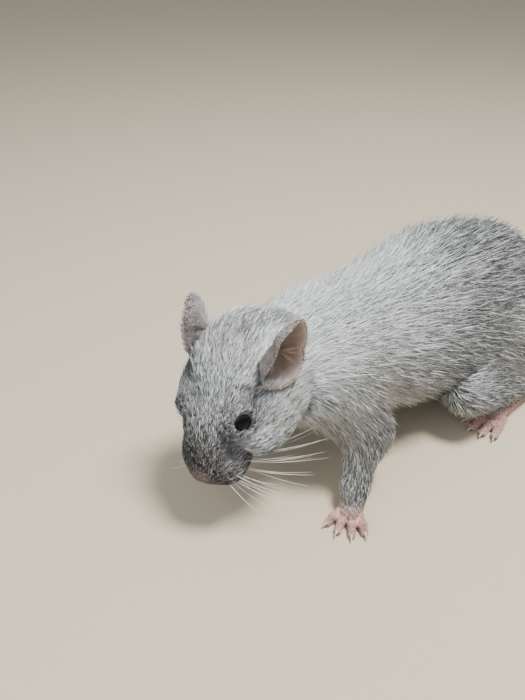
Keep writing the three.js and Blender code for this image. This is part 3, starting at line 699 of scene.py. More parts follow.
def face_and_feet(middles):
    local = in_head(middles)
    face = (local[:, 1] < -2) & (np.abs(local[:, 0]) < 20) & (local[:, 2] < 16)
    face &= middles[:, 1] < -18
    return face | ((middles[:, 2] < 7.5) & (middles[:, 1] < 102))


def muzzle_and_eyes(middles):
    local = in_head(middles)
    close = (local[:, 1] < NOSE_Y + 13) & (middles[:, 1] < -20) & (local[:, 2] > -14)
    for side in (LEFT, RIGHT):
        close |= eye_gap(local, side) < 5.6
    return close


def moved_onto(mesh, turns, fine):
    """Draws a mesh onto the skin; when fine, with the carved places and the eye sockets."""
    points = pulled_on(mesh_points(mesh), turns, fine=fine)
    if fine:
        points = on_head(pushed_in(in_head(points)))
    mesh.vertices.foreach_set("co", ((points + SHIFT) / 1000).ravel())
    mesh.update()


skin_mesh = new_mesh("skin", skin_points, skin_squares)
moved_onto(skin_mesh, 1, False)
split_where(skin_mesh, face_and_feet)
split_where(skin_mesh, muzzle_and_eyes)
moved_onto(skin_mesh, 3, True)
skin_mesh.calc_loop_triangles()
print("skin:", len(skin_mesh.vertices), "points,", len(skin_mesh.loop_triangles), "triangles")

# %% [markdown]
# ## Finishes
# Every finish starts from the real thing: keratin hair with a silky gloss, thin bare ear skin that
# lets light through, wet eyes, horn claws. Patterns are drawn from the object's own coordinates
# or from values kept on the points, so they stay put when the view changes.

# %% Helpers for finishes
def linear(colour):
    """An sRGB hex colour as linear light, with full opacity."""
    parts = [int(colour[n : n + 2], 16) / 255 for n in (1, 3, 5)]
    return [c / 12.92 if c <= 0.04045 else ((c + 0.055) / 1.055) ** 2.4 for c in parts] + [1.0]


def put(tree, kind, settings=None, **links):
    """Adds a node, sets its options and its sockets, and links what is given as a socket."""
    node = tree.nodes.new(kind)
    for key, value in (settings or {}).items():
        setattr(node, key, value)
    for key, value in links.items():
        socket = node.inputs[int(key[1:]) if key[0] == "i" and key[1:].isdigit() else key.replace("_", " ")]
        if isinstance(value, bpy.types.NodeSocket):
            tree.links.new(value, socket)
        else:
            socket.default_value = value
    return node


def finish(name, **sockets):
    """A new material with one surface shader; returns it with its tree and that shader."""
    material = bpy.data.materials.new(name)
    material.use_nodes = True
    tree = material.node_tree
    tree.nodes.clear()
    shader = put(tree, "ShaderNodeBsdfPrincipled", **sockets)
    output = tree.nodes.new("ShaderNodeOutputMaterial")
    tree.links.new(shader.outputs[0], output.inputs[0])
    return material, tree, shader


def stops(tree, value, colours):
    """A colour ramp through (place, colour) stops."""
    ramp = put(tree, "ShaderNodeValToRGB", i0=value)
    while len(ramp.color_ramp.elements) < len(colours):
        ramp.color_ramp.elements.new(0.5)
    for element, (place, colour) in zip(ramp.color_ramp.elements, colours):
        element.position, element.color = place, linear(colour)
    return ramp.outputs[0]


def kept(tree, name):
    """A value kept on the points of the mesh."""
    return put(tree, "ShaderNodeAttribute", {"attribute_name": name}).outputs["Fac"]


def reckoned(tree, operation, *numbers):
    """One step of arithmetic on numbers or sockets."""
    sockets = {f"i{n}": number for n, number in enumerate(numbers)}
    return put(tree, "ShaderNodeMath", {"operation": operation}, **sockets).outputs[0]


def sums(tree, *terms):
    """Adds (value, weight) terms up."""
    total = 0.0
    for value, weight in terms:
        total = reckoned(tree, "MULTIPLY_ADD", value, weight, total)
    return total


def mixed(tree, share, first, second, blend="MIX"):
    """The first colour, going over to the second as the share goes to 1."""
    settings = {"data_type": "RGBA", "blend_type": blend}
    return put(tree, "ShaderNodeMix", settings, Factor=share, i6=first, i7=second).outputs[2]


def noise(tree, place, scale, detail, kind="FBM"):
    """Soft noise; its scale is in waves to the metre."""
    settings = {"noise_type": kind}
    return put(tree, "ShaderNodeTexNoise", settings, Vector=place, Scale=scale, Detail=detail).outputs["Fac"]


def own_place(tree):
    """Each point's place in the object's own coordinates, in metres."""
    return put(tree, "ShaderNodeTexCoord").outputs["Object"]


def relief(tree, shader, strength, depth, height):
    """Fine bumps, as deep in metres as real pores and creases."""
    bump = put(tree, "ShaderNodeBump", Strength=strength, Distance=depth, Height=height)
    tree.links.new(bump.outputs[0], shader.inputs["Normal"])


print("mid grey in linear light:", round(linear("#808080")[0], 3))

# %% [markdown]
# ## Silver fur
# Keratin hair is finely grooved and half glossy. Each hair is slate at its root and banded paler
# near the tip, so the coat looks silver where the tips catch light and slate where it parts. The
# dark root also stands for painted shade deep between the hairs. A painted texture could hold this,
# but values kept on the points of each tuft cost nothing, follow every hair, and are the same from
# all sides.

# %% The finish of the hairs
FUR_STOPS = [(0.0, "#1F1E1E"), (0.25, "#474747"), (0.5, "#7F8182"), (0.75, "#ACB0B2"), (1.0, "#D6D9DB")]


def fur_finish():
    """Silky keratin: slate at the root, partly as painted shade between the hairs, silver at the tip, tinted
    by the markings.
    """
    material, tree, shader = finish("silver_degu_fur", Roughness=0.5, Specular_IOR_Level=0.22)
    # Darker towards the root: partly the slate under-fur, partly painted shade deep in the coat.
    value = sums(tree, (kept(tree, "shade"), 1.0), (kept(tree, "tone"), 1.0), (kept(tree, "along"), 0.34))
    colour = stops(tree, value, FUR_STOPS)
    warm = mixed(tree, kept(tree, "warmth"), colour, linear("#FFEBD2"), "MULTIPLY")
    pink = mixed(tree, kept(tree, "bare"), warm, linear("#B9938D"))
    mauve = mixed(tree, sums(tree, (kept(tree, "nose"), 0.7)), pink, linear("#7B686A"))
    tree.links.new(mauve, shader.inputs["Base Color"])
    return material


fur = fur_finish()
print("fur:", len(fur.node_tree.nodes), "nodes")

# %% [markdown]
# ## Skin under the fur
# Living skin is pink grey, thin and slightly see-through, with pores about 0.3 mm apart and fine
# creases. It shows between the hairs, and bare on the nose pad, lips and toes. Light that goes in
# comes out a millimetre further on and redder, which one setting of the shader gives.

# %% The finish of the skin
PORES, CREASES, BLOTCHES = 3300.0, 2600.0, 260.0  # waves to the metre: 0.3, 0.4 and 4 mm apart


def skin_finish():
    """Soft skin, coat-coloured where hair covers it and flesh-coloured where it is bare."""
    material, tree, shader = finish(
        "degu_skin", Roughness=0.55, Subsurface_Weight=0.15, Subsurface_Scale=0.0012
    )
    shader.inputs["Subsurface Radius"].default_value = (1.0, 0.4, 0.3)
    place = own_place(tree)
    pores = noise(tree, place, PORES, 3.0)
    blotch = noise(tree, place, BLOTCHES, 2.0)
    value = sums(tree, (kept(tree, "shade"), 0.8), (pores, 0.2), (blotch, 0.1))
    coat = stops(tree, value, FUR_STOPS)
    flush = sums(tree, (blotch, 0.8), (pores, 0.3))
    flesh = stops(tree, flush, [(0.2, "#8C6664"), (0.55, "#B98D87"), (0.9, "#D9B3AA")])
    colour = mixed(tree, kept(tree, "bare"), coat, flesh)
    pad = mixed(tree, kept(tree, "nose"), colour, linear("#7E6A6C"))
    tree.links.new(pad, shader.inputs["Base Color"])
    grain = put(tree, "ShaderNodeTexVoronoi", Vector=place, Scale=CREASES).outputs["Distance"]
    relief(tree, shader, 0.35, 0.00012, sums(tree, (grain, 0.6), (pores, 0.6)))
    return material


skin_material = skin_finish()
print("skin:", len(skin_material.node_tree.nodes), "nodes")

# %% [markdown]
# ## Markings, and some painted light and shade
# The blue-grey coat has no spots, but it isn't one grey: snout and forehead are darker, the cheek
# is mid grey, neck and the patch behind the ear are nearly white, belly and feet are pale and the
# tail brush is slate. Part of this is painted light and shade: the snout is darkened partly where
# it turns down away from the light, and jaw, shoulders and upper legs are lifted where shade falls
# on them. One function gives these values, for the skin and for the hairs alike, so that the two
# always agree.

# %% One function for all markings, and the painted light and shade among them
NOSE_PAD_MIDDLE = np.array([0, NOSE_Y + 0.6, -1.2])
NOSE_PAD_SIZE = (4.2, 2.8, 3.4)


def pad_size(local):
    """Below 1 inside the nose pad, in the head's frame."""
    return np.linalg.norm((local - NOSE_PAD_MIDDLE) / NOSE_PAD_SIZE, axis=1)


def round_place(local, place, low, high):
    """1 close to a place on both sides of the head, going to 0 away from it."""
    gaps = (np.linalg.norm(local - mirrored(place, side), axis=1) for side in (LEFT, RIGHT))
    return sum(1 - ease(gap, low, high) for gap in gaps)


def markings_with_painted_light_and_shade(points):
    """Shade (dark 0 to pale 1, with some painted light and shade in it), warmth, bareness and nose pad at
    points of the working frame.
    """
    kin = melted(points)[1]
    own = shares(kin, 3.0)
    local = in_head(points)
    x, y, z = np.abs(local[:, 0]), local[:, 1], local[:, 2]
    forehead = ease(z, 0, 8) * (1 - ease(y, 6, 14))
    snout = (1 - ease(y, NOSE_Y + 1, NOSE_Y + 23)) * (1 - 0.45 * ease(x, 4, 9))
    cheek = ease(x, 6, 12) * (1 - ease(z, -1, 5)) * ease(y, -16, -4)
    behind_ear = ease(y, 4, 12) * ease(x, 5, 10) * (1 - ease(z, 8, 12))
    chin = 1 - ease(z, -13, -8)
    crown = ease(y, -4, 10) * (1 - ease(x, 9, 13))
    eyes = round_place(local, EYE_PLACE, 4.9, 6)
    temple = round_place(local, (11.0, 0.5, 5.5), 2, 7)
    # Painted light: the jaw, paler in its own right, is lifted further where the notch between muzzle and
    # cheek lies in shade.
    pale_jaw_and_notch_light = round_place(local, (11.5, -14.5, -1.5), 3, 9)
    # The snout's darker shade is partly its own colour and partly painted shade where the muzzle turns down
    # away from the light.
    face = 0.25 - 0.06 * forehead - 0.27 * snout + 0.04 * cheek + 0.54 * behind_ear + 0.14 * chin
    face = face - 0.02 * crown + 0.3 * ease(y, 10, 18) - 0.15 * eyes - 0.04 * temple + 0.28 * pale_jaw_and_notch_light
    low_down = 1 - ease(points[:, 2], 12, 34)
    # Painted light: the front of the trunk is paler in its own right and also lifted against the shadow that
    # the head casts on the shoulders.
    shoulder = 1 - ease(points[:, 1], 6, 55)
    back = 0.1 * ease(points[:, 2], 56, 68) * ease(points[:, 1], 0, 40)
    trunk = 0.44 + 0.34 * shoulder + 0.12 * low_down - back
    limbs = own["fore_left"] + own["fore_right"] + own["hind_left"] + own["hind_right"]
    # Painted light: the upper legs are paler partly to lift the head's shadow over the shoulder.
    leg = 0.45 + 0.24 * ease(points[:, 2], 22, 42)
    shade = own["head"] * face + own["neck"] * 0.82 + own["torso"] * trunk + limbs * leg
    shade += own["tail"] * np.interp(points[:, 1], [105, 130, 175, 188], [0.42, 0.3, 0.2, 0.05])
    warmth = 0.04 + own["head"] * (0.25 * cheek + 0.3 * snout) + 0.25 * low_down * own["torso"]
    feet = limbs * (1 - ease(points[:, 2], 4, 7.5))
    lips = ease(0.9 - to_line(local, mouth_line), 0, 0.6) * own["head"]
    nose = (1 - ease(pad_size(local), 0.75, 1.5)) * own["head"]
    return {"shade": shade, "warmth": warmth, "bare": np.clip(feet + lips, 0, 1), "nose": nose}


def even_markings(count, shade, warmth, bare=0.0):
    """Markings for hairs that don't follow the body's own: ear down, brush and combs."""
    blank = np.zeros(count)
    return {"shade": blank + shade, "warmth": blank + warmth, "bare": blank + bare, "nose": blank}


def keep_markings(mesh, found, each=1):
    """Keeps the markings on a mesh that has so many points for each value."""
    for name, values in found.items():
        set_attribute(mesh, name, np.repeat(values, each))


skin_places = mesh_points(skin_mesh)
keep_markings(skin_mesh, markings_with_painted_light_and_shade(skin_places))
FLESH = [
    "head", "muzzle", "neck", "torso", "tail_base", "tail_middle", "tail_tip",
    "foreleg_left", "foreleg_right", "forefoot_left", "forefoot_right",
    "hindleg_left", "hindleg_right", "hindfoot_left", "hindfoot_right",
]
skin = new_piece("skin", skin_mesh, skin_material, FLESH)
print("markings kept on", len(skin_places), "points")

# %% [markdown]
# ## The lie of the coat
# Hair grows away from the nose, over the skull, back along the body and down the limbs, and parts
# round the eyes. Each mass of the body knows the way its hair lies, and a point on the skin takes
# the mean of the masses near it.

# %% Direction, length and number of hairs
# In millimetres, by the same places as the depth of the coat
HAIR_LENGTH = {
    "head": (1.3, 2.6, 3.8, 4.6, 6.5), "lid": 1.8, "neck": 8.0, "torso": 9.5,
    "leg": (1.6, 3.0, 5.5, 8.0), "tail": (7.0, 4.0, 4.0),
}
HAIR_WIDTH = {
    "head": (0.17, 0.23, 0.26, 0.28, 0.34), "lid": 0.2, "neck": 0.36, "torso": 0.4,
    "leg": (0.17, 0.28, 0.34, 0.38), "tail": (0.42, 0.34, 0.3),
}


def lie_of_coat(points, normals):
    """The way hair lies on the skin, as unit vectors in the skin's plane."""
    total = np.zeros_like(points)
    for name, masses in GROUPS.items():
        for mass in masses:
            close = np.flatnonzero(((points - mass.centre) ** 2).sum(1) < mass.reach**2)
            if not len(close):
                continue
            pull = np.exp(-np.clip(mass.distance(points[close]), -5, 25) / 2.2)[:, None]
            if name == "head":
                away = unit(in_head(points[close]) - (0, NOSE_Y - 1, -2.5))
                total[close] += pull * (away @ HEAD_AXES.T)
            else:
                total[close] += pull * mass.lie
    total = unit(total)
    for side in (LEFT, RIGHT):
        away = points - on_head(eye_axes(side)[0])
        gap = np.linalg.norm(away, axis=1)
        total += (0.55 * np.exp(-np.maximum(gap - 4.5, 0) / 2.2))[:, None] * unit(away)
    return unit(total - (total * normals).sum(1)[:, None] * normals)


def sampled(mesh, density, seed):
    """Random places on a mesh and their normals, by a density to the square millimetre."""
    rng = np.random.default_rng(seed)
    corners = np.empty(len(mesh.loop_triangles) * 3, np.int32)
    mesh.loop_triangles.foreach_get("vertices", corners)
    corners = corners.reshape(-1, 3)
    points = mesh_points(mesh)
    normals = np.empty(len(points) * 3, np.float32)
    mesh.vertex_normals.foreach_get("vector", normals)
    normals = normals.reshape(-1, 3).astype(float)
    a, b, c = (points[corners[:, n]] for n in range(3))
    area = np.linalg.norm(np.cross(b - a, c - a), axis=1) / 2
    wanted = area * density((a + b + c) / 3)
    count = rng.poisson(wanted)
    chosen = np.repeat(np.arange(len(corners)), count)
    u, v = rng.random(len(chosen)), rng.random(len(chosen))
    flip = u + v > 1
    u[flip], v[flip] = 1 - u[flip], 1 - v[flip]
    weights = np.stack([1 - u - v, u, v], 1)[:, :, None]
    chosen = corners[chosen]
    return (points[chosen] * weights).sum(1), unit((normals[chosen] * weights).sum(1))


BODY_DENSITY = 5.6
FACE_DENSITY = 28.0
FOOT_DENSITY = 14.0
ROOT_SEED = 11


def hair_density(middles):
    """Tufts to the square millimetre: close on the face and feet, none on eyes, ear cups and pads."""
    kin = melted(middles)[1]
    local = in_head(middles)
    own = shares(kin)
    face = own["head"] * (1 - ease(local[:, 1], 0, 18))
    foot = (1 - ease(middles[:, 2], 5, 10)) * (1 - own["tail"])
    density = BODY_DENSITY + (FACE_DENSITY - BODY_DENSITY) * face + (FOOT_DENSITY - BODY_DENSITY) * foot
    density = density + own["tail"] * 3
    for side in (LEFT, RIGHT):
        density = density * (1.8 - 0.8 * ease(eye_gap(local, side), 4.4, 5.6))
        size, ball = slit_size(local, side, 0.99)
        density = density * ((size > 1) | (ball > 4.5))
        density = density * (ear_hollow(local, side) > 1.2)
    sole = middles[:, 2] < 0.9
    thin = 0.25 + 0.75 * ease(pad_size(local), 0.7, 1.3)
    return density * (~sole) * (to_line(local, mouth_line) > 0.8) * thin


rooted, rooted_normals = sampled(skin_mesh, hair_density, ROOT_SEED)
print("roots:", len(rooted))

# %% [markdown]
# ## Tufts
# Real hair would be millions of curves. A tuft here is a closed sliver with three sides that
# starts in the skin, bends over and ends in a point as high over the skin as the coat is deep.
# Each step of the way it is set to its height over the skin, so it follows the body like combed
# fur instead of sticking out where the body curves away.

# %% Growing tufts from arrays
TUFT_STEPS = (0.38, 1.0)
PATH_SEED, TONE_SEED, CLUMP_SEED = 100, 200, 5
CLUMP_TONES = 4096
PATCH_WIDTH = 0.003
SLIVER = np.array([(0, 1, 3), (0, 3, 2), (0, 2, 1), (4, 3, 1), (4, 2, 3), (4, 1, 2)])


def tuft_paths(roots, normals, seed):
    """Points along each tuft, from the root in the skin to the tip at the coat's outline."""
    rng = np.random.default_rng(seed)
    lies = lie_of_coat(roots, normals)
    side = np.cross(normals, lies)
    kin = melted(roots)[1]
    length = by_part(roots, kin, HAIR_LENGTH) * rng.uniform(0.72, 1.15, len(roots))
    depth = by_part(roots, kin, COAT_DEPTH)
    width = by_part(roots, kin, HAIR_WIDTH) * rng.uniform(0.75, 1.2, len(roots))
    local = in_head(roots)
    for one in (LEFT, RIGHT):
        length = length * (0.35 + 0.65 * ease(ear_hollow(local, one), 1.1, 2.0))
    swing = rng.normal(0, 0.22, len(roots))
    way = unit(lies + swing[:, None] * side)
    lift = rng.uniform(0.75, 1.2, len(roots)) + 0.8 * (rng.random(len(roots)) < 0.08)
    path = [roots - 0.25 * np.minimum(depth, 1)[:, None] * normals]
    for share, step in zip(TUFT_STEPS, np.diff([0.0, *TUFT_STEPS])):
        spot = path[-1] + (length * step)[:, None] * way
        height = melted(spot)[0] + depth
        target = depth * lift * (1 - (1 - share) ** 1.7)
        spot = spot + np.clip(target - height, -0.6 * length * step, 0.6 * length * step)[:, None] * normals
        spot[:, 2] = np.maximum(spot[:, 2], 0.1)
        path.append(spot)
    return path, side, width


def clumped(roots, rng, size, spread=0.12):
    """One tone for each clump of hairs, a few hairs across, with ragged edges."""
    cell = np.floor((roots + rng.normal(0, 0.25 * size, roots.shape)) / size).astype(np.int64)
    hashed = (cell[:, 0] * 73856093) ^ (cell[:, 1] * 19349663) ^ (cell[:, 2] * 83492791)
    return spread * np.random.default_rng(CLUMP_SEED).normal(0, 1, CLUMP_TONES)[hashed % CLUMP_TONES]


def set_chart(mesh, spots):
    """The UV map OFBake, from one place on the chart for each point."""
    corner = np.empty(len(mesh.loops), np.int32)
    mesh.loops.foreach_get("vertex_index", corner)
    mesh.uv_layers.new(name="OFBake").data.foreach_set("uv", spots[corner].ravel().astype(np.float32))


def tufts(name, path, side, normals, width, found, seed, chart):
    """Closed slivers along the paths, with the markings of their roots."""
    rng = np.random.default_rng(seed)
    root, middle, tip = path
    count, half = len(width), (width / 2)[:, None]
    ring = [middle + side * half * turn - normals * half * 0.3 for turn in (-1, 1)]
    rows = [root, *ring, middle + normals * half * 0.7, tip]
    points = np.stack(rows, 1).reshape(-1, 3)
    each = len(rows)
    faces = (SLIVER + each * np.arange(count)[:, None, None]).reshape(-1, 3)
    mesh = new_mesh(name, points, faces)
    along = np.tile([0.0, *[TUFT_STEPS[0]] * 3, 1.0], count)
    set_attribute(mesh, "along", along)
    tone = clumped(root, rng, 2 * width.mean()) + rng.normal(0, 0.18, count)
    tone = tone - 0.25 * (rng.random(count) < 0.1)
    tone = np.repeat(tone[:, None], each, 1)
    tone[:, -1] += rng.normal(-0.03, 0.16, count)
    set_attribute(mesh, "tone", tone.ravel())
    keep_markings(mesh, found, each)
    patch = np.stack([np.tile([0.5, 0.0, 1.0, 0.5, 0.5], count), along], 1) - 0.5
    set_chart(mesh, np.repeat(chart, each, 0) + PATCH_WIDTH * patch)
    return new_piece(name, mesh, fur)


print("each tuft has", SLIVER.max() + 1, "points and", len(SLIVER), "triangles")

# %% A place on the chart for each root
CHART_EDGE = 0.004
LIMBS = {f"fore_{word}": (FORE[side]["wrist"], FORE[side]["elbow"]) for side, word in SIDES}
LIMBS |= {f"hind_{word}": (HIND[side]["hock"], HIND[side]["knee"]) for side, word in SIDES}


def unwrapped(points):
    """The skin laid flat round its own length: angle round each part, and place along it."""
    own = shares(melted(points)[1])
    local = in_head(points)
    on_the_head = own["head"] > 0.5
    round_body = np.arctan2(points[:, 0], points[:, 2] - 36)
    angle = np.where(on_the_head, np.arctan2(local[:, 0], local[:, 2] + 1), round_body)
    place = np.where(on_the_head, local[:, 1], points[:, 1])
    for name, joints in LIMBS.items():
        low_joint, high_joint = (np.array(joint, float) for joint in joints)
        share = np.clip((points[:, 2] - low_joint[2]) / (high_joint[2] - low_joint[2]), -1, 1)[:, None]
        away = points - (low_joint + share * (high_joint - low_joint))
        here = own[name] > 0.5
        angle = np.where(here, np.arctan2(away[:, 0], away[:, 1]), angle)
        place = np.where(here, points[:, 2], place)
    flat = np.stack([angle, place], 1)
    flat = (flat - flat.min(0)) / np.ptp(flat, axis=0)
    return CHART_EDGE + (1 - 2 * CHART_EDGE) * flat


print("limbs laid out by their own bones:", list(LIMBS))

# %% [markdown]
# ## Regions of the coat
# The whole coat as one piece would be too heavy to handle, so it is parted as a barber would part
# it: crown, face and muzzle, neck, flank and rump, each leg, and the tail. Every root belongs to
# exactly one region, so no tuft is made twice and none is missing at a border.

# %% The coat, in pieces of its own regions
def regions(points):
    """The name of the region that each root belongs to."""
    own = shares(melted(points)[1])
    names = list(own)
    strongest = np.argmax(np.stack([own[name] for name in names]), 0)
    region = np.array(names, dtype=object)[strongest]
    local = in_head(points)
    sides = np.where(points[:, 0] > 0, "left", "right").astype(object)
    head_sides = np.where(local[:, 0] > 0, "left", "right").astype(object)
    on_the_head = region == "head"
    behind = np.where(local[:, 1] < -4, "face", "crown")
    part = np.where(local[:, 1] < -15, "muzzle", behind).astype(object)
    region[on_the_head] = part[on_the_head] + "_" + head_sides[on_the_head]
    trunk = region == "torso"
    part = np.where(points[:, 1] < 45, "flank", "rump").astype(object)
    region[trunk] = part[trunk] + "_" + sides[trunk]
    return region


region_of_root = regions(rooted)
coat_triangles = 0
for number, region in enumerate(sorted(set(region_of_root))):
    here = region_of_root == region
    roots, normals = rooted[here], rooted_normals[here]
    path, side, width = tuft_paths(roots, normals, PATH_SEED + number)
    found, chart = markings_with_painted_light_and_shade(roots), unwrapped(roots)
    piece = tufts("coat_" + region, path, side, normals, width, found, TONE_SEED + number, chart)
    coat_triangles += len(piece.data.polygons)
    print(piece.name, len(roots), "tufts,", len(piece.data.polygons), "triangles")
print("coat:", coat_triangles, "triangles")

# %% [markdown]
# ## Tail brush and toe bristles
# A degu's tail ends in a brush of stiff slate hairs, and a comb of pale bristles stands over the
# claws of each hind foot. Both are one thing repeated: a tapered spine set on a root and turned
# its own way. Modelling each by hand would be slow and hard to change, so Geometry Nodes set a
# cone on every root. The tree has named inputs for the sizes and a fixed seed.

# %% A node tree that sets bristles on roots
def at_root(tree, name, kind):
    """A value or a way that is kept at each root."""
    node = put(tree, "GeometryNodeInputNamedAttribute", {"data_type": kind}, Name=name)
    return node.outputs["Attribute"]


def bristle_tree(material):
    """The tree, and the identifiers of its inputs by name."""
    tree = bpy.data.node_groups.new("bristles on roots", "GeometryNodeTree")
    tree.interface.new_socket("Geometry", in_out="OUTPUT", socket_type="NodeSocketGeometry")
    keys = {}
    for name, kind in (
        ("Roots", "Geometry"), ("Bristle length", "Float"), ("Bristle width", "Float"),
        ("Length spread", "Float"), ("Seed", "Int"),
    ):
        socket = tree.interface.new_socket(name, in_out="INPUT", socket_type="NodeSocket" + kind)
        keys[name] = socket.identifier
    given = put(tree, "NodeGroupInput").outputs
    half = reckoned(tree, "MULTIPLY", given["Bristle width"], 0.5)
    spine = put(
        tree, "GeometryNodeMeshCone", Vertices=4, Side_Segments=2, Radius_Top=0.0, Radius_Bottom=half,
        Depth=given["Bristle length"],
    ).outputs["Mesh"]
    way = at_root(tree, "way", "FLOAT_VECTOR")
    turn = put(tree, "FunctionNodeAlignRotationToVector", {"axis": "Z"}, Vector=way).outputs["Rotation"]
    shortest = reckoned(tree, "SUBTRACT", 1.0, given["Length spread"])
    drawn = put(
        tree, "FunctionNodeRandomValue", {"data_type": "FLOAT"}, i2=shortest, i3=1.0, Seed=given["Seed"]
    ).outputs[1]
    tall = reckoned(tree, "MULTIPLY", drawn, at_root(tree, "reach", "FLOAT"))
    size = put(tree, "ShaderNodeCombineXYZ", X=1.0, Y=1.0, Z=tall).outputs[0]
    placed = put(
        tree, "GeometryNodeInstanceOnPoints", Points=given["Roots"], Instance=spine, Rotation=turn, Scale=size
    ).outputs[0]
    plain = put(tree, "GeometryNodeRealizeInstances", Geometry=placed).outputs[0]
    dressed = put(tree, "GeometryNodeSetMaterial", Geometry=plain, Material=material).outputs[0]
    put(tree, "NodeGroupOutput", i0=dressed)
    return tree, keys


bristle_nodes, bristle_inputs = bristle_tree(fur)
print("bristle tree:", len(bristle_nodes.nodes), "nodes")


# %% Brush and bristles as plain meshes
def bristles(name, roots, ways, reach, settings, found, tone):
    """Spines on the roots as one plain mesh, with the values that the fur finish reads."""
    mesh = new_mesh(name + "_roots", roots, np.zeros((0, 3), int))
    kept_ways = mesh.attributes.new("way", "FLOAT_VECTOR", "POINT")
    kept_ways.data.foreach_set("vector", ways.astype(np.float32).ravel())
    set_attribute(mesh, "reach", reach)
    holder = bpy.data.objects.new(name + "_roots", mesh)
    bpy.context.collection.objects.link(holder)
    modifier = holder.modifiers.new("bristles", "NODES")
    modifier.node_group = bristle_nodes
    for key, value in settings.items():
        modifier[bristle_inputs[key]] = value
    evaluated = holder.evaluated_get(bpy.context.evaluated_depsgraph_get())
    made = bpy.data.meshes.new_from_object(evaluated)
    bpy.data.objects.remove(holder)
    reworked(made, lambda work: bmesh.ops.triangulate(work, faces=work.faces))
    made.name = name
    made.materials.clear()
    each = len(made.vertices) // len(roots)
    away = np.linalg.norm(mesh_points(made).reshape(-1, each, 3) - roots[:, None], axis=2)
    along = (away / away.max(1, keepdims=True)).ravel()
    set_attribute(made, "along", along)
    set_attribute(made, "tone", np.repeat(tone, each))
    keep_markings(made, found, each)
    patch = np.stack([np.full(len(along), 0.5), along], 1) - 0.5
    set_chart(made, np.repeat(unwrapped(roots), each, 0) + PATCH_WIDTH * patch)
    return new_piece(name, made, fur)


def lifted(roots, ways, reach, floor=0.25):
    """Ways turned up just enough that no tip reaches the floor."""
    tips = roots + ways * reach[:, None]
    tips[:, 2] = np.maximum(tips[:, 2], floor)
    return tips - roots


print("inputs of the tree:", list(bristle_inputs))

# %% The tail brush
BRUSH_LENGTH = 14.0
BRUSH_COUNT = 3000
BRUSH_START = 0.62
BRUSH_SEED = 83
BRUSH = {
    "Bristle length": BRUSH_LENGTH / 1000, "Bristle width": 0.42 / 1000, "Length spread": 0.4,
    "Seed": BRUSH_SEED,
}
rng = np.random.default_rng(BRUSH_SEED)
place = BRUSH_START + 0.37 * rng.random(BRUSH_COUNT) ** 0.75
spots = smooth_path(TAIL_KNOTS, place)
ahead = unit(spots - smooth_path(TAIL_KNOTS, place - 0.02))
across = unit(np.cross(ahead, (0, 0, 1)))
around = rng.uniform(0, 2 * math.pi, BRUSH_COUNT)[:, None]
outward = across * np.cos(around) + np.cross(across, ahead) * np.sin(around)
roots = spots + outward * (0.7 * tail_radius(place))[:, None]
reach = np.interp(place, [BRUSH_START, 0.85, 1.0], [0.35, 0.75, 1.0])
spread = rng.uniform(0.08, 0.5, BRUSH_COUNT)[:, None]
ways = lifted(roots, unit(ahead + outward * spread), BRUSH_LENGTH * reach)
shade = np.interp(place, [BRUSH_START, 0.8, 1.0], [0.22, 0.08, 0.02])
found = even_markings(BRUSH_COUNT, shade, 0.1)
tone = rng.normal(-0.03, 0.08, BRUSH_COUNT)
brush = bristles("coat_tail_brush", roots, ways, reach, BRUSH, found, tone)
print(brush.name, BRUSH_COUNT, "bristles,", len(brush.data.polygons), "triangles")

# %% The combs over the hind claws
COMB_HALF = 6
COMB = {
    "Bristle length": 4.2 / 1000, "Bristle width": 0.2 / 1000, "Length spread": 0.3, "Seed": 89,
}
for side, word in SIDES:
    roots, ways = [], []
    for start, knuckle, tip, way in hind_toes(side):
        aside = np.cross(way, (0, 0, 1))
        for lean in np.arange(-COMB_HALF, COMB_HALF + 1) / COMB_HALF:
            back = way * (0.4 + 0.5 * abs(lean))
            roots.append(tip - back + aside * 0.75 * lean + (0, 0, 0.75 - 0.3 * lean**2))
            ways.append(unit(way + aside * 0.28 * lean + (0, 0, 0.34)))
    roots, ways = np.array(roots), unit(np.array(ways) + rng.normal(0, 0.06, (len(ways), 3)))
    count = len(roots)
    found = even_markings(count, 0.66, 0.3, 0.1)
    tone = rng.normal(0, 0.05, count)
    comb = bristles("coat_toe_bristles_" + word, roots, ways, np.ones(count), COMB, found, tone)
    print(comb.name, count, "bristles")

# %% [markdown]
# ## Eyes
# A degu's eye is a dark wet bead: a near-black iris round a wide pupil under a clear, very smooth
# cornea. It is a ball of its own in a socket behind almond lids. It could be a stock sphere, but
# rings drawn round the way it looks let the cornea rise a little where the pupil is, and that
# bends the light's reflection as in a living eye.

# %% Eyeballs
CORNEA_RISE, CORNEA_EDGE = 0.22, 0.75
IRIS_FIBRES = 900.0  # waves to the metre: 1.1 mm apart
IRIS_STOPS = [(0.5, "#0E0B0A"), (0.7, "#1A1E25"), (0.82, "#14171C"), (0.9, "#050607")]


def eye_finish(name, centre, way):
    """Dark iris, darker pupil, and the wet gloss of the cornea."""
    material, tree, shader = finish(name, Roughness=0.05, Specular_IOR_Level=0.14)
    middle, look = tuple((on_head(centre) + SHIFT) / 1000), tuple(HEAD_AXES @ way)

    def vectors(operation, **sockets):
        return put(tree, "ShaderNodeVectorMath", {"operation": operation}, **sockets).outputs

    away = vectors("SUBTRACT", i0=own_place(tree), i1=middle)[0]
    straight = vectors("NORMALIZE", i0=away)[0]
    facing = vectors("DOT_PRODUCT", i0=straight, i1=look)["Value"]
    fibres = noise(tree, away, IRIS_FIBRES, 2.0)
    colour = stops(tree, sums(tree, (facing, 1.0), (fibres, 0.06)), IRIS_STOPS)
    tree.links.new(colour, shader.inputs["Base Color"])
    return material


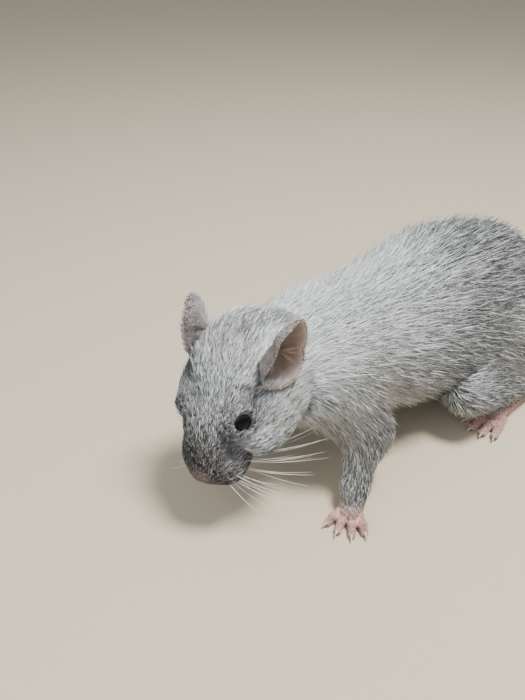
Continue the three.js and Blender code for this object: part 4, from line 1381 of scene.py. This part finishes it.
def ball_points(centre, radius, way, turns=64, rows=40):
    """A ball whose poles lie along the way it looks, with a slightly raised cornea."""
    way = unit(way)
    right = unit(np.cross(way, (0, 0, 1)))
    rise = np.cross(right, way)
    points = [centre + way * (radius + CORNEA_RISE)]
    for row in range(1, rows):
        a = math.pi * row / rows
        bulge = radius + CORNEA_RISE * max(0, math.cos(a) - CORNEA_EDGE) / (1 - CORNEA_EDGE)
        for turn in range(turns):
            b = 2 * math.pi * turn / turns
            out = right * math.cos(b) + rise * math.sin(b)
            points.append(centre + bulge * (way * math.cos(a) + math.sin(a) * out))
    points.append(centre - way * radius)
    return np.array(points), turns, rows


def ball_faces(turns, rows):
    """Triangles between the rows of a ball, closed at both poles."""
    last = 1 + (rows - 1) * turns
    faces = []
    for n in range(turns):
        m = (n + 1) % turns
        faces.append((0, 1 + n, 1 + m))
        for row in range(rows - 2):
            a, b = 1 + row * turns + n, 1 + row * turns + m
            faces += [(a, a + turns, b + turns), (a, b + turns, b)]
        faces.append((last, last - turns + m, last - turns + n))
    return np.array(faces)


def facing_out(mesh):
    """Turns all faces outwards."""
    return reworked(mesh, lambda work: bmesh.ops.recalc_face_normals(work, faces=work.faces))


for side, word in SIDES:
    centre, way, slit, rise = eye_axes(side)
    points, turns, rows = ball_points(centre, EYE_RADIUS, way)
    mesh = facing_out(new_mesh("eyeball_" + word, on_head(points), ball_faces(turns, rows)))
    material = eye_finish("wet_eye_" + word, centre, way)
    new_piece("eyeball_" + word, mesh, material, ["eye_" + word])
print("eyeballs of", 2 * EYE_RADIUS, "mm")

# %% [markdown]
# ## Lids
# The edge of a degu's lids is a soft dark rim of bare skin that lies on the ball, drawn out to a
# small corner in front. It could be shaped in the skin's own net, but a ring with a round section
# stays smooth however coarse that net is, and it hides where skin and eyeball meet.

# %% Lid rims
LID_CREASES = 4200.0  # waves to the metre: 0.24 mm apart


def lid_finish():
    """Bare lid skin: dark grey, slightly moist, finely creased."""
    material, tree, shader = finish("bare_lid_skin", Roughness=0.35, Specular_IOR_Level=0.5)
    crease = noise(tree, own_place(tree), LID_CREASES, 2.0)
    colour = stops(tree, crease, [(0.3, "#1F1A1B"), (0.55, "#352E2F"), (0.8, "#51484A")])
    tree.links.new(colour, shader.inputs["Base Color"])
    relief(tree, shader, 0.3, 0.00008, crease)
    return material


def ring_faces(around, section):
    """Squares of a closed ring with a closed section."""
    faces = []
    for n in range(around):
        for k in range(section):
            a, b = n * section + k, n * section + (k + 1) % section
            c, d = ((n + 1) % around) * section + k, ((n + 1) % around) * section + (k + 1) % section
            faces.append((a, c, d, b))
    return np.array(faces)


def lid_rim(side, around=72, section=10):
    """A soft rim along the almond slit, lying on the eyeball."""
    centre, way, slit, rise = eye_axes(side)
    points = []
    for n in range(around):
        a = 2 * math.pi * n / around
        corner = max(0.0, -math.cos(a)) ** 6
        wide, high = 3.28 * math.cos(a) - 0.35 * corner, 2.84 * math.sin(a) * (1 - 0.2 * corner)
        flat = slit * wide + rise * high
        outward = unit(flat)
        for k in range(section):
            b = 2 * math.pi * k / section
            lateral = flat + outward * (0.12 + 0.28 * math.cos(b))
            lift = 4.12 + 0.26 * math.sin(b) + 0.1 * math.cos(b)
            height = math.sqrt(max(0.5, lift**2 - lateral @ lateral))
            points.append(centre + lateral + way * height)
    return np.array(points), ring_faces(around, section)


lid_skin = lid_finish()
for side, word in SIDES:
    points, faces = lid_rim(side)
    mesh = facing_out(new_mesh("lid_rim_" + word, on_head(points), faces))
    new_piece("lid_rim_" + word, mesh, lid_skin)
print("lid rims made")

# %% [markdown]
# ## Ears
# The ears are large thin shells of bare-looking skin, open to the front and side, with a rolled
# front edge, soft ridges inside and a shallow notch in the back edge. A bent sheet would look like
# paper, so each shell is a bowl: rings run from its floor out to a rim of named places, a second
# wall follows the first at the ear's thickness, and short down covers the back and the rim.

# %% The finish of the ears
EAR_MOTTLE, EAR_VEINS, EAR_GRAIN = 420.0, 240.0, 2600.0  # waves to the metre: 2.4, 4 and 0.4 mm


def ear_finish():
    """Thin ear skin: brown-pink inside with veins, painted shade in its hollows and some light coming
    through, grey outside.
    """
    material, tree, shader = finish(
        "thin_ear_skin", Roughness=0.5, Specular_IOR_Level=0.4, Subsurface_Weight=0.12, Subsurface_Scale=0.001
    )
    shader.inputs["Subsurface Radius"].default_value = (1.0, 0.35, 0.25)
    place = own_place(tree)
    warp = noise(tree, place, EAR_MOTTLE, 4.0)
    vein = noise(tree, place, EAR_VEINS, 2.0, "RIDGED_MULTIFRACTAL")
    # The kept value pale carries painted light and shade: low deep in the bowl and in the front furrow, high
    # on the ridges and rim.
    inner = stops(
        tree, sums(tree, (warp, 0.35), (vein, -0.08), (kept(tree, "pale"), 0.7)),
        [(0.15, "#483833"), (0.4, "#6E5D57"), (0.6, "#8B7B75"), (0.88, "#B3A5A1")],
    )
    outer = stops(tree, warp, [(0.3, "#6A6765"), (0.6, "#8A8785"), (0.85, "#A4A1A0")])
    tree.links.new(mixed(tree, kept(tree, "outer"), inner, outer), shader.inputs["Base Color"])
    grain = noise(tree, place, EAR_GRAIN, 3.0)
    relief(tree, shader, 0.3, 0.0001, sums(tree, (grain, 0.7), (vein, 0.3)))
    return material


ear_skin = ear_finish()
print("ear skin:", len(ear_skin.node_tree.nodes), "nodes")

# %% The form of an ear
# Rim of an ear as height along it, width (front below 0, back above 0) and how far it stands out
EAR_RIM = np.array([
    (20.9, -1.7, 0.0), (17.6, 1.8, 0.2), (14.0, 4.2, 0.4), (10.4, 5.8, 0.7), (8.4, 5.9, 1.1), (6.4, 7.0, 1.7),
    (3.4, 7.2, 2.8), (0.9, 6.0, 4.2), (-1.2, 3.2, 4.7), (-2.0, 0.2, 4.2), (-1.6, -2.4, 3.0), (1.8, -4.3, 2.4),
    (6.6, -4.7, 2.2), (11.0, -4.9, 1.6), (14.6, -5.2, 0.9), (18.0, -3.9, 0.3),
])
EAR_FLOOR = np.array([6.0, 0.6, -2.0])


def round_trip(knots, share):
    """A point on a soft closed curve through the knots, share running round from 0 to 1."""
    count = len(knots)
    place = np.mod(share, 1) * count
    step = place.astype(int)
    return soft_curve(*(knots[(step + k) % count] for k in (-1, 0, 1, 2)), (place - step)[:, None])


# Ridges inside an ear as place round the rim, width and height
EAR_FOLDS = [(0.21, 0.024, 1.0), (0.3, 0.02, 0.8), (0.385, 0.025, 0.8), (0.56, 0.03, 0.9), (0.83, 0.03, 0.7)]


def ear_folds(reach, share):
    """Soft ridges that run from the floor of an ear to its rim, by their place round it."""
    turn = np.mod(share, 1)
    waves = sum(tall * np.exp(-(((turn - place) / width) ** 2)) for place, width, tall in EAR_FOLDS)
    return waves * np.sin(np.pi * reach) ** 2


def ear_sheet(side, reach, share):
    """The middle sheet of an ear: reach 0 at its floor and 1 at its rim, share running round it."""
    root, axis, out, across = ear_axes(side)
    rim = round_trip(EAR_RIM, share)
    front = ease(-rim[:, 1], 1.0, 3.6)
    low_end = 1 - ease(rim[:, 0], 0, 4)
    spread = reach + (0.12 + 0.75 * front * (1 - low_end)) * reach**2 * (1 - reach)
    flat = EAR_FLOOR[:2] + (rim[:, :2] - EAR_FLOOR[:2]) * spread[:, None]
    steep = 2.2 + 2.6 * front + 1.2 * low_end
    depth = EAR_FLOOR[2] + (rim[:, 2] - EAR_FLOOR[2]) * reach**steep
    depth = depth + ear_folds(reach, share)
    return root + flat[:, :1] * axis + flat[:, 1:] * across + depth[:, None] * out


print("rim of an ear through", len(EAR_RIM), "places, with", len(EAR_FOLDS), "folds inside")

# %% Two walls of an ear, and the roots of its down
def ear_shell(side, rings=26, around=112):
    """Two walls of an ear, joined round the rim: points, faces, and two values for its finish: which wall is
    outside, and how pale the inner skin is, with painted shade deep in the bowl and in the front furrow.
    """
    reach = np.linspace(0, 1, rings + 1)[1:] ** 0.9
    share = np.arange(around) / around
    r, k = (grid.ravel() for grid in np.meshgrid(reach, share, indexing="ij"))
    sheet = ear_sheet(side, r, k)
    grid = sheet.reshape(rings, around, 3)
    tall = np.gradient(grid, axis=0)
    wide = np.roll(grid, -1, 1) - np.roll(grid, 1, 1)
    normal = unit(np.cross(wide, tall)).reshape(-1, 3)
    out = ear_axes(side)[2]
    normal *= np.sign((normal[: around * 3] @ out).mean())
    wall = (0.2 + 0.2 * (1 - r)) * np.sqrt(np.clip(1 - r**14, 0.04, 1))
    middle = ear_sheet(side, np.zeros(1), np.zeros(1))
    thick = normal * wall[:, None]
    points = np.vstack([sheet + thick, sheet - thick, middle + 0.4 * out, middle - 0.4 * out])
    size, faces = rings * around, []
    for n in range(around):
        m = (n + 1) % around
        for base, pole in ((0, 2 * size), (size, 2 * size + 1)):
            faces.append((pole, base + n, base + m))
            for ring in range(rings - 1):
                a, b = base + ring * around + n, base + ring * around + m
                faces += [(a, b, b + around), (a, b + around, a + around)]
        a, b = size - around + n, size - around + m
        faces += [(a, b, b + size), (a, b + size, a + size)]
    outer = np.concatenate([np.zeros(size), np.ones(size), [0.0, 1.0]])
    # Painted light and shade: the inner skin is darker deep in the bowl and in the furrow by the front edge,
    # and paler on the ridges and towards the rim.
    front_furrow_shade = np.exp(-(((np.mod(k, 1) - 0.9) / 0.05) ** 2)) * (1 - r**6)
    pale = np.clip(0.35 * r + 0.5 * r**8 + 0.45 * ear_folds(r, k) - 0.3 * front_furrow_shade, 0, 1)
    return points, np.array(faces), outer, np.concatenate([pale, pale, [0.0, 0.0]])


def ear_down(side, count, seed):
    """Roots, normals and lie of the short hairs on the back of an ear and along its rim."""
    rng = np.random.default_rng(seed)
    reach, share = 1 - 0.9 * rng.random(count) ** 1.5, rng.random(count)
    on_rim = rng.random(count) < 0.16
    reach[on_rim] = 1.0
    here = ear_sheet(side, reach, share)
    wide = ear_sheet(side, reach, share + 2e-3) - ear_sheet(side, reach, share - 2e-3)
    tall = here - ear_sheet(side, reach - 0.01, share)
    normal = unit(np.cross(wide, tall))
    normal *= np.sign((normal @ ear_axes(side)[2]).mean())
    lie = unit(unit(tall) + 0.9 * ear_axes(side)[1])
    return here - 0.1 * normal, -normal, lie, on_rim


print("an ear shell has", len(ear_shell(LEFT)[0]), "points")

# %% Ear shells and their down
EAR_TUFTS = 4400
EAR_ROOT_SEED, EAR_LENGTH_SEED, EAR_TONE_SEED = 61, 67, 71
for side, word in SIDES:
    points, faces, outer, pale = ear_shell(side)
    mesh = facing_out(new_mesh("ear_shell_" + word, on_head(points), faces))
    set_attribute(mesh, "outer", outer)
    set_attribute(mesh, "pale", pale)
    new_piece("ear_shell_" + word, mesh, ear_skin, ["ear_" + word])
    print("ear", word, len(faces), "faces")
    roots, normal, lie, on_rim = ear_down(side, EAR_TUFTS, EAR_ROOT_SEED)
    roots, normal, lie = on_head(roots), normal @ HEAD_AXES.T, lie @ HEAD_AXES.T
    lie = unit(lie - (normal * lie).sum(1)[:, None] * normal)
    rng = np.random.default_rng(EAR_LENGTH_SEED)
    reach = rng.uniform(0.7, 1.3, EAR_TUFTS) * np.where(on_rim, 0.7, 1.2)
    tips = roots + reach[:, None] * (lie + normal * np.where(on_rim, 0.2, 0.28)[:, None])
    found = even_markings(EAR_TUFTS, np.where(on_rim, 0.62, 0.48), 0.25, 0.12)
    path, across = [roots, 0.6 * roots + 0.4 * tips, tips], unit(np.cross(normal, lie))
    width, chart = np.full(EAR_TUFTS, 0.15), unwrapped(roots)
    tufts("coat_ear_" + word, path, across, normal, width, found, EAR_TONE_SEED, chart)

# %% [markdown]
# ## Whiskers
# Whiskers are stiff, evenly tapered hairs as long as the head is deep, rooted in rows on the
# swollen pad of the muzzle. Each is a thin closed tube that narrows to a point along a gentle bend.
# A curve with a bevel would draw them too, but a tube from arrays is a closed mesh at once and
# keeps its own tone, since some whiskers are dark.

# %% Tubes that end in a point
def tube(path, radii, sides):
    """A closed tube round a path that ends in a point."""
    path = np.array(path)
    along = unit(np.gradient(path, axis=0))
    right = unit(np.cross(along, (0.31, 0.22, 0.93)))
    rise = np.cross(right, along)
    points = [path[0] - along[0] * radii[0] * 0.2]
    angles = np.arange(sides) * 2 * math.pi / sides
    for spot, r, u, radius in zip(path[:-1], right, rise, radii):
        points += [spot + radius * (r * math.cos(a) + u * math.sin(a)) for a in angles]
    points.append(path[-1])
    last, faces = len(points) - 1, []
    for n in range(sides):
        m = (n + 1) % sides
        faces.append((0, 1 + m, 1 + n))
        for ring in range(len(path) - 2):
            a, b = 1 + ring * sides + n, 1 + ring * sides + m
            faces += [(a, b, b + sides), (a, b + sides, a + sides)]
        faces.append((last, last - sides + n, last - sides + m))
    return np.array(points), np.array(faces)


def joined(shapes):
    """Several (points, faces) shapes as one."""
    offsets = np.cumsum([0] + [len(points) for points, _ in shapes[:-1]])
    return np.vstack([p for p, _ in shapes]), np.vstack([f + o for (_, f), o in zip(shapes, offsets)])


trial = tube([(0, 0, 0), (0, 0, 1), (0, 0, 2)], (0.2, 0.1), 5)
print("a tube of two steps has", len(trial[1]), "triangles")

# %% Whiskers
def whisker_finish():
    """Stiff keratin hair, clear to pale horn, with a strong narrow gloss."""
    material, tree, shader = finish("pale_whisker", Roughness=0.3, Specular_IOR_Level=0.5)
    colour = stops(tree, kept(tree, "tone"), [(0.15, "#4A4642"), (0.35, "#B5AFA6"), (0.8, "#EDEAE4")])
    tree.links.new(colour, shader.inputs["Base Color"])
    return material


WHISKER_LENGTH = 30.0
WHISKER_ROWS = (8, 7, 6, 5, 4)
WHISKER_SEEDS = {LEFT: 31, RIGHT: 37}
WHISKER_SWEEP = (-0.1, 0.3, -0.12)


def pad_whiskers(side, rng):
    """Rows on the whisker pad, from the lip up, with the tone of each whisker."""
    shapes, tones = [], []
    for row, count in enumerate(WHISKER_ROWS):
        for n in range(count):
            share = n / (count - 1)
            way = unit((side * 0.86, -0.44 + 0.87 * share, -0.58 + 0.085 * row) + rng.normal(0, 0.12, 3))
            start = (side * (3.6 + 1.6 * share), NOSE_Y + 4.4 + 5.2 * share, -6.9 + 1.15 * row)
            start = np.array(start) + rng.normal(0, 0.3, 3)
            length = WHISKER_LENGTH * (0.7 + 0.3 * share) * rng.uniform(0.7, 1.03)
            steps = np.linspace(0, 1, 12)
            bend = 0.55 * length * rng.uniform(0.7, 1.2)
            sweep = np.outer(steps**2 * bend, mirrored(WHISKER_SWEEP, side))
            path = start + np.outer(steps * length, way) + sweep
            radii = 0.068 * (1 - steps) ** 0.8 + 0.012
            shapes.append(tube(on_head(path), radii, 5))
            tones.append(rng.uniform(0.4, 0.9) if rng.random() > 0.16 else 0.2)
    return shapes, tones


# Short whiskers of chin and lip: place, way, number and length
SHORT_WHISKERS = (
    ((2.4, NOSE_Y + 6, -12.6), (0.25, -0.35, -0.9), 5, 8),
    ((3.2, NOSE_Y + 3.4, -7.4), (0.3, -0.5, -0.8), 6, 9),
)


def short_whiskers(side, rng):
    """Short bristles on the chin and the lip, with their tones."""
    shapes, tones = [], []
    for start, way, count, length in SHORT_WHISKERS:
        for _ in range(count):
            line = unit(mirrored(way, side) + rng.normal(0, 0.16, 3))
            steps = np.linspace(0, 1, 8)
            reach = length * rng.uniform(0.6, 1.05)
            begin = mirrored(start, side) + rng.normal(0, 0.9, 3) * (1, 1, 0.3)
            sweep = np.outer(steps**2 * reach * 0.3, (0, 1, -0.2))
            path = begin + np.outer(steps * reach, line) + sweep
            shapes.append(tube(on_head(path), 0.06 * (1 - steps) ** 0.8 + 0.015, 5))
            tones.append(rng.uniform(0.4, 0.9))
    return shapes, tones


pale_whisker = whisker_finish()
for side, word in SIDES:
    rng = np.random.default_rng(WHISKER_SEEDS[side])
    long_shapes, long_tones = pad_whiskers(side, rng)
    short_shapes, short_tones = short_whiskers(side, rng)
    shapes, tones = long_shapes + short_shapes, long_tones + short_tones
    mesh = new_mesh("whiskers_" + word, *joined(shapes))
    set_attribute(mesh, "tone", np.repeat(tones, [len(points) for points, _ in shapes]))
    new_piece("whiskers_" + word, mesh, pale_whisker)
    print("whiskers", word, len(shapes))

# %% [markdown]
# ## Claws
# Each toe ends in a small bent claw of see-through horn that rests its point on the ground. It is
# the same tube again, thicker and with a hook in its path, one piece for each foot.

# %% Claws
CLAW_LENGTH, CLAW_RADIUS = 3.0, 0.62
CLAW_STREAKS = 1800.0  # waves to the metre: 0.6 mm apart


def claw_finish():
    """Horn: see-through grey brown with paler streaks."""
    material, tree, shader = finish(
        "claw_horn", Roughness=0.3, Specular_IOR_Level=0.5, Subsurface_Weight=0.2,
        Subsurface_Scale=0.0006,
    )
    streak = noise(tree, own_place(tree), CLAW_STREAKS, 2.0)
    colour = stops(tree, streak, [(0.3, "#8D7C72"), (0.6, "#C3B2A6"), (0.9, "#E2D6CC")])
    tree.links.new(colour, shader.inputs["Base Color"])
    return material


claw_horn = claw_finish()
for limb, toe_lines, size in (("fore", fore_toes, 0.8), ("hind", hind_toes, 1.0)):
    for side, word in SIDES:
        shapes = []
        for root, knuckle, tip, way in toe_lines(side):
            steps = np.linspace(0, 1, 9)
            start = tip + 0.3 * way + (0, 0, 0.35)
            hook = np.outer(np.sin(steps * 2.4) * 0.35 - steps**2 * 0.9, (0, 0, 1))
            path = start + np.outer(steps * CLAW_LENGTH * size, way) + hook
            path[:, 2] = np.maximum(path[:, 2], 0.25)
            shapes.append(tube(path, CLAW_RADIUS * size * (1 - steps) ** 0.7 + 0.05, 8))
        name = f"claws_{limb}_{word}"
        new_piece(name, new_mesh(name, *joined(shapes)), claw_horn)
        print(name, len(shapes))

# %% [markdown]
# ## Floor, light and camera
# The model stands on a plain pale ground. Most of the light comes softly from all round, as in a
# bright room; a small warm lamp above gives the eye its light spot and the coat its sheen, and a
# wide weak one fills in from the front. The camera looks down at the head from the animal's left
# front.

# %% Ground and lights
def ground_finish():
    """Plain pale fabric-like matt ground."""
    material, tree, shader = finish("plain_pale_ground", Roughness=0.9, Specular_IOR_Level=0.1)
    shader.inputs["Base Color"].default_value = linear("#B3A893")
    return material


ground_mesh = bpy.data.meshes.new("ground")
ground_mesh.from_pydata([(-6, -6, 0), (6, -6, 0), (6, 6, 0), (-6, 6, 0)], [], [(0, 1, 2, 3)])
ground = bpy.data.objects.new("ground", ground_mesh)
bpy.context.collection.objects.link(ground)
ground_mesh.materials.append(ground_finish())


def soft_light(name, place, aim, width, watts, colour):
    """A round lamp at a place in millimetres, turned to what it lights."""
    data = bpy.data.lights.new(name, "AREA")
    data.shape, data.size, data.energy, data.color = "DISK", width, watts, colour
    light = bpy.data.objects.new(name, data)
    bpy.context.collection.objects.link(light)
    place = (np.array(place, float) + SHIFT) / 1000
    aim = (np.array(aim, float) + SHIFT) / 1000
    light.location = place
    light.rotation_mode = "QUATERNION"
    light.rotation_quaternion = Vector(aim - place).to_track_quat("-Z", "Y")
    return light


soft_light("ceiling", (150, 110, 640), (0, 10, 30), 0.17, 9.6, (1.0, 0.985, 0.965))
soft_light("fill", (120, -430, 330), (0, 0, 30), 0.6, 2.1, (0.95, 0.97, 1.0))
world = bpy.data.worlds.new("soft room light")
bpy.context.scene.world = world
world.use_nodes = True
world.node_tree.nodes["Background"].inputs[0].default_value = linear("#C8CBD0")
world.node_tree.nodes["Background"].inputs[1].default_value = 1.0
print("lights:", len(bpy.data.lights))

# %% Camera at the photograph's angle
CAMERA_PLACE = np.array([118.1, -89.4, 150.4])
VIEW_TURN, VIEW_DOWN = math.atan2(0.545, -0.839), math.radians(36)
FOCAL_LENGTH, SENSOR_WIDTH = 30.857, 36.0
camera_data = bpy.data.cameras.new("camera")
camera_data.lens, camera_data.sensor_width = FOCAL_LENGTH, SENSOR_WIDTH
camera_data.clip_start = 0.01
camera = bpy.data.objects.new("camera", camera_data)
bpy.context.collection.objects.link(camera)
camera.location = (CAMERA_PLACE + SHIFT) / 1000
level = math.cos(VIEW_DOWN)
forward = Vector((math.cos(VIEW_TURN) * level, math.sin(VIEW_TURN) * level, -math.sin(VIEW_DOWN)))
camera.rotation_mode = "QUATERNION"
camera.rotation_quaternion = forward.to_track_quat("-Z", "Y")
bpy.context.scene.camera = camera
print("camera looks down", math.degrees(VIEW_DOWN), "degrees")
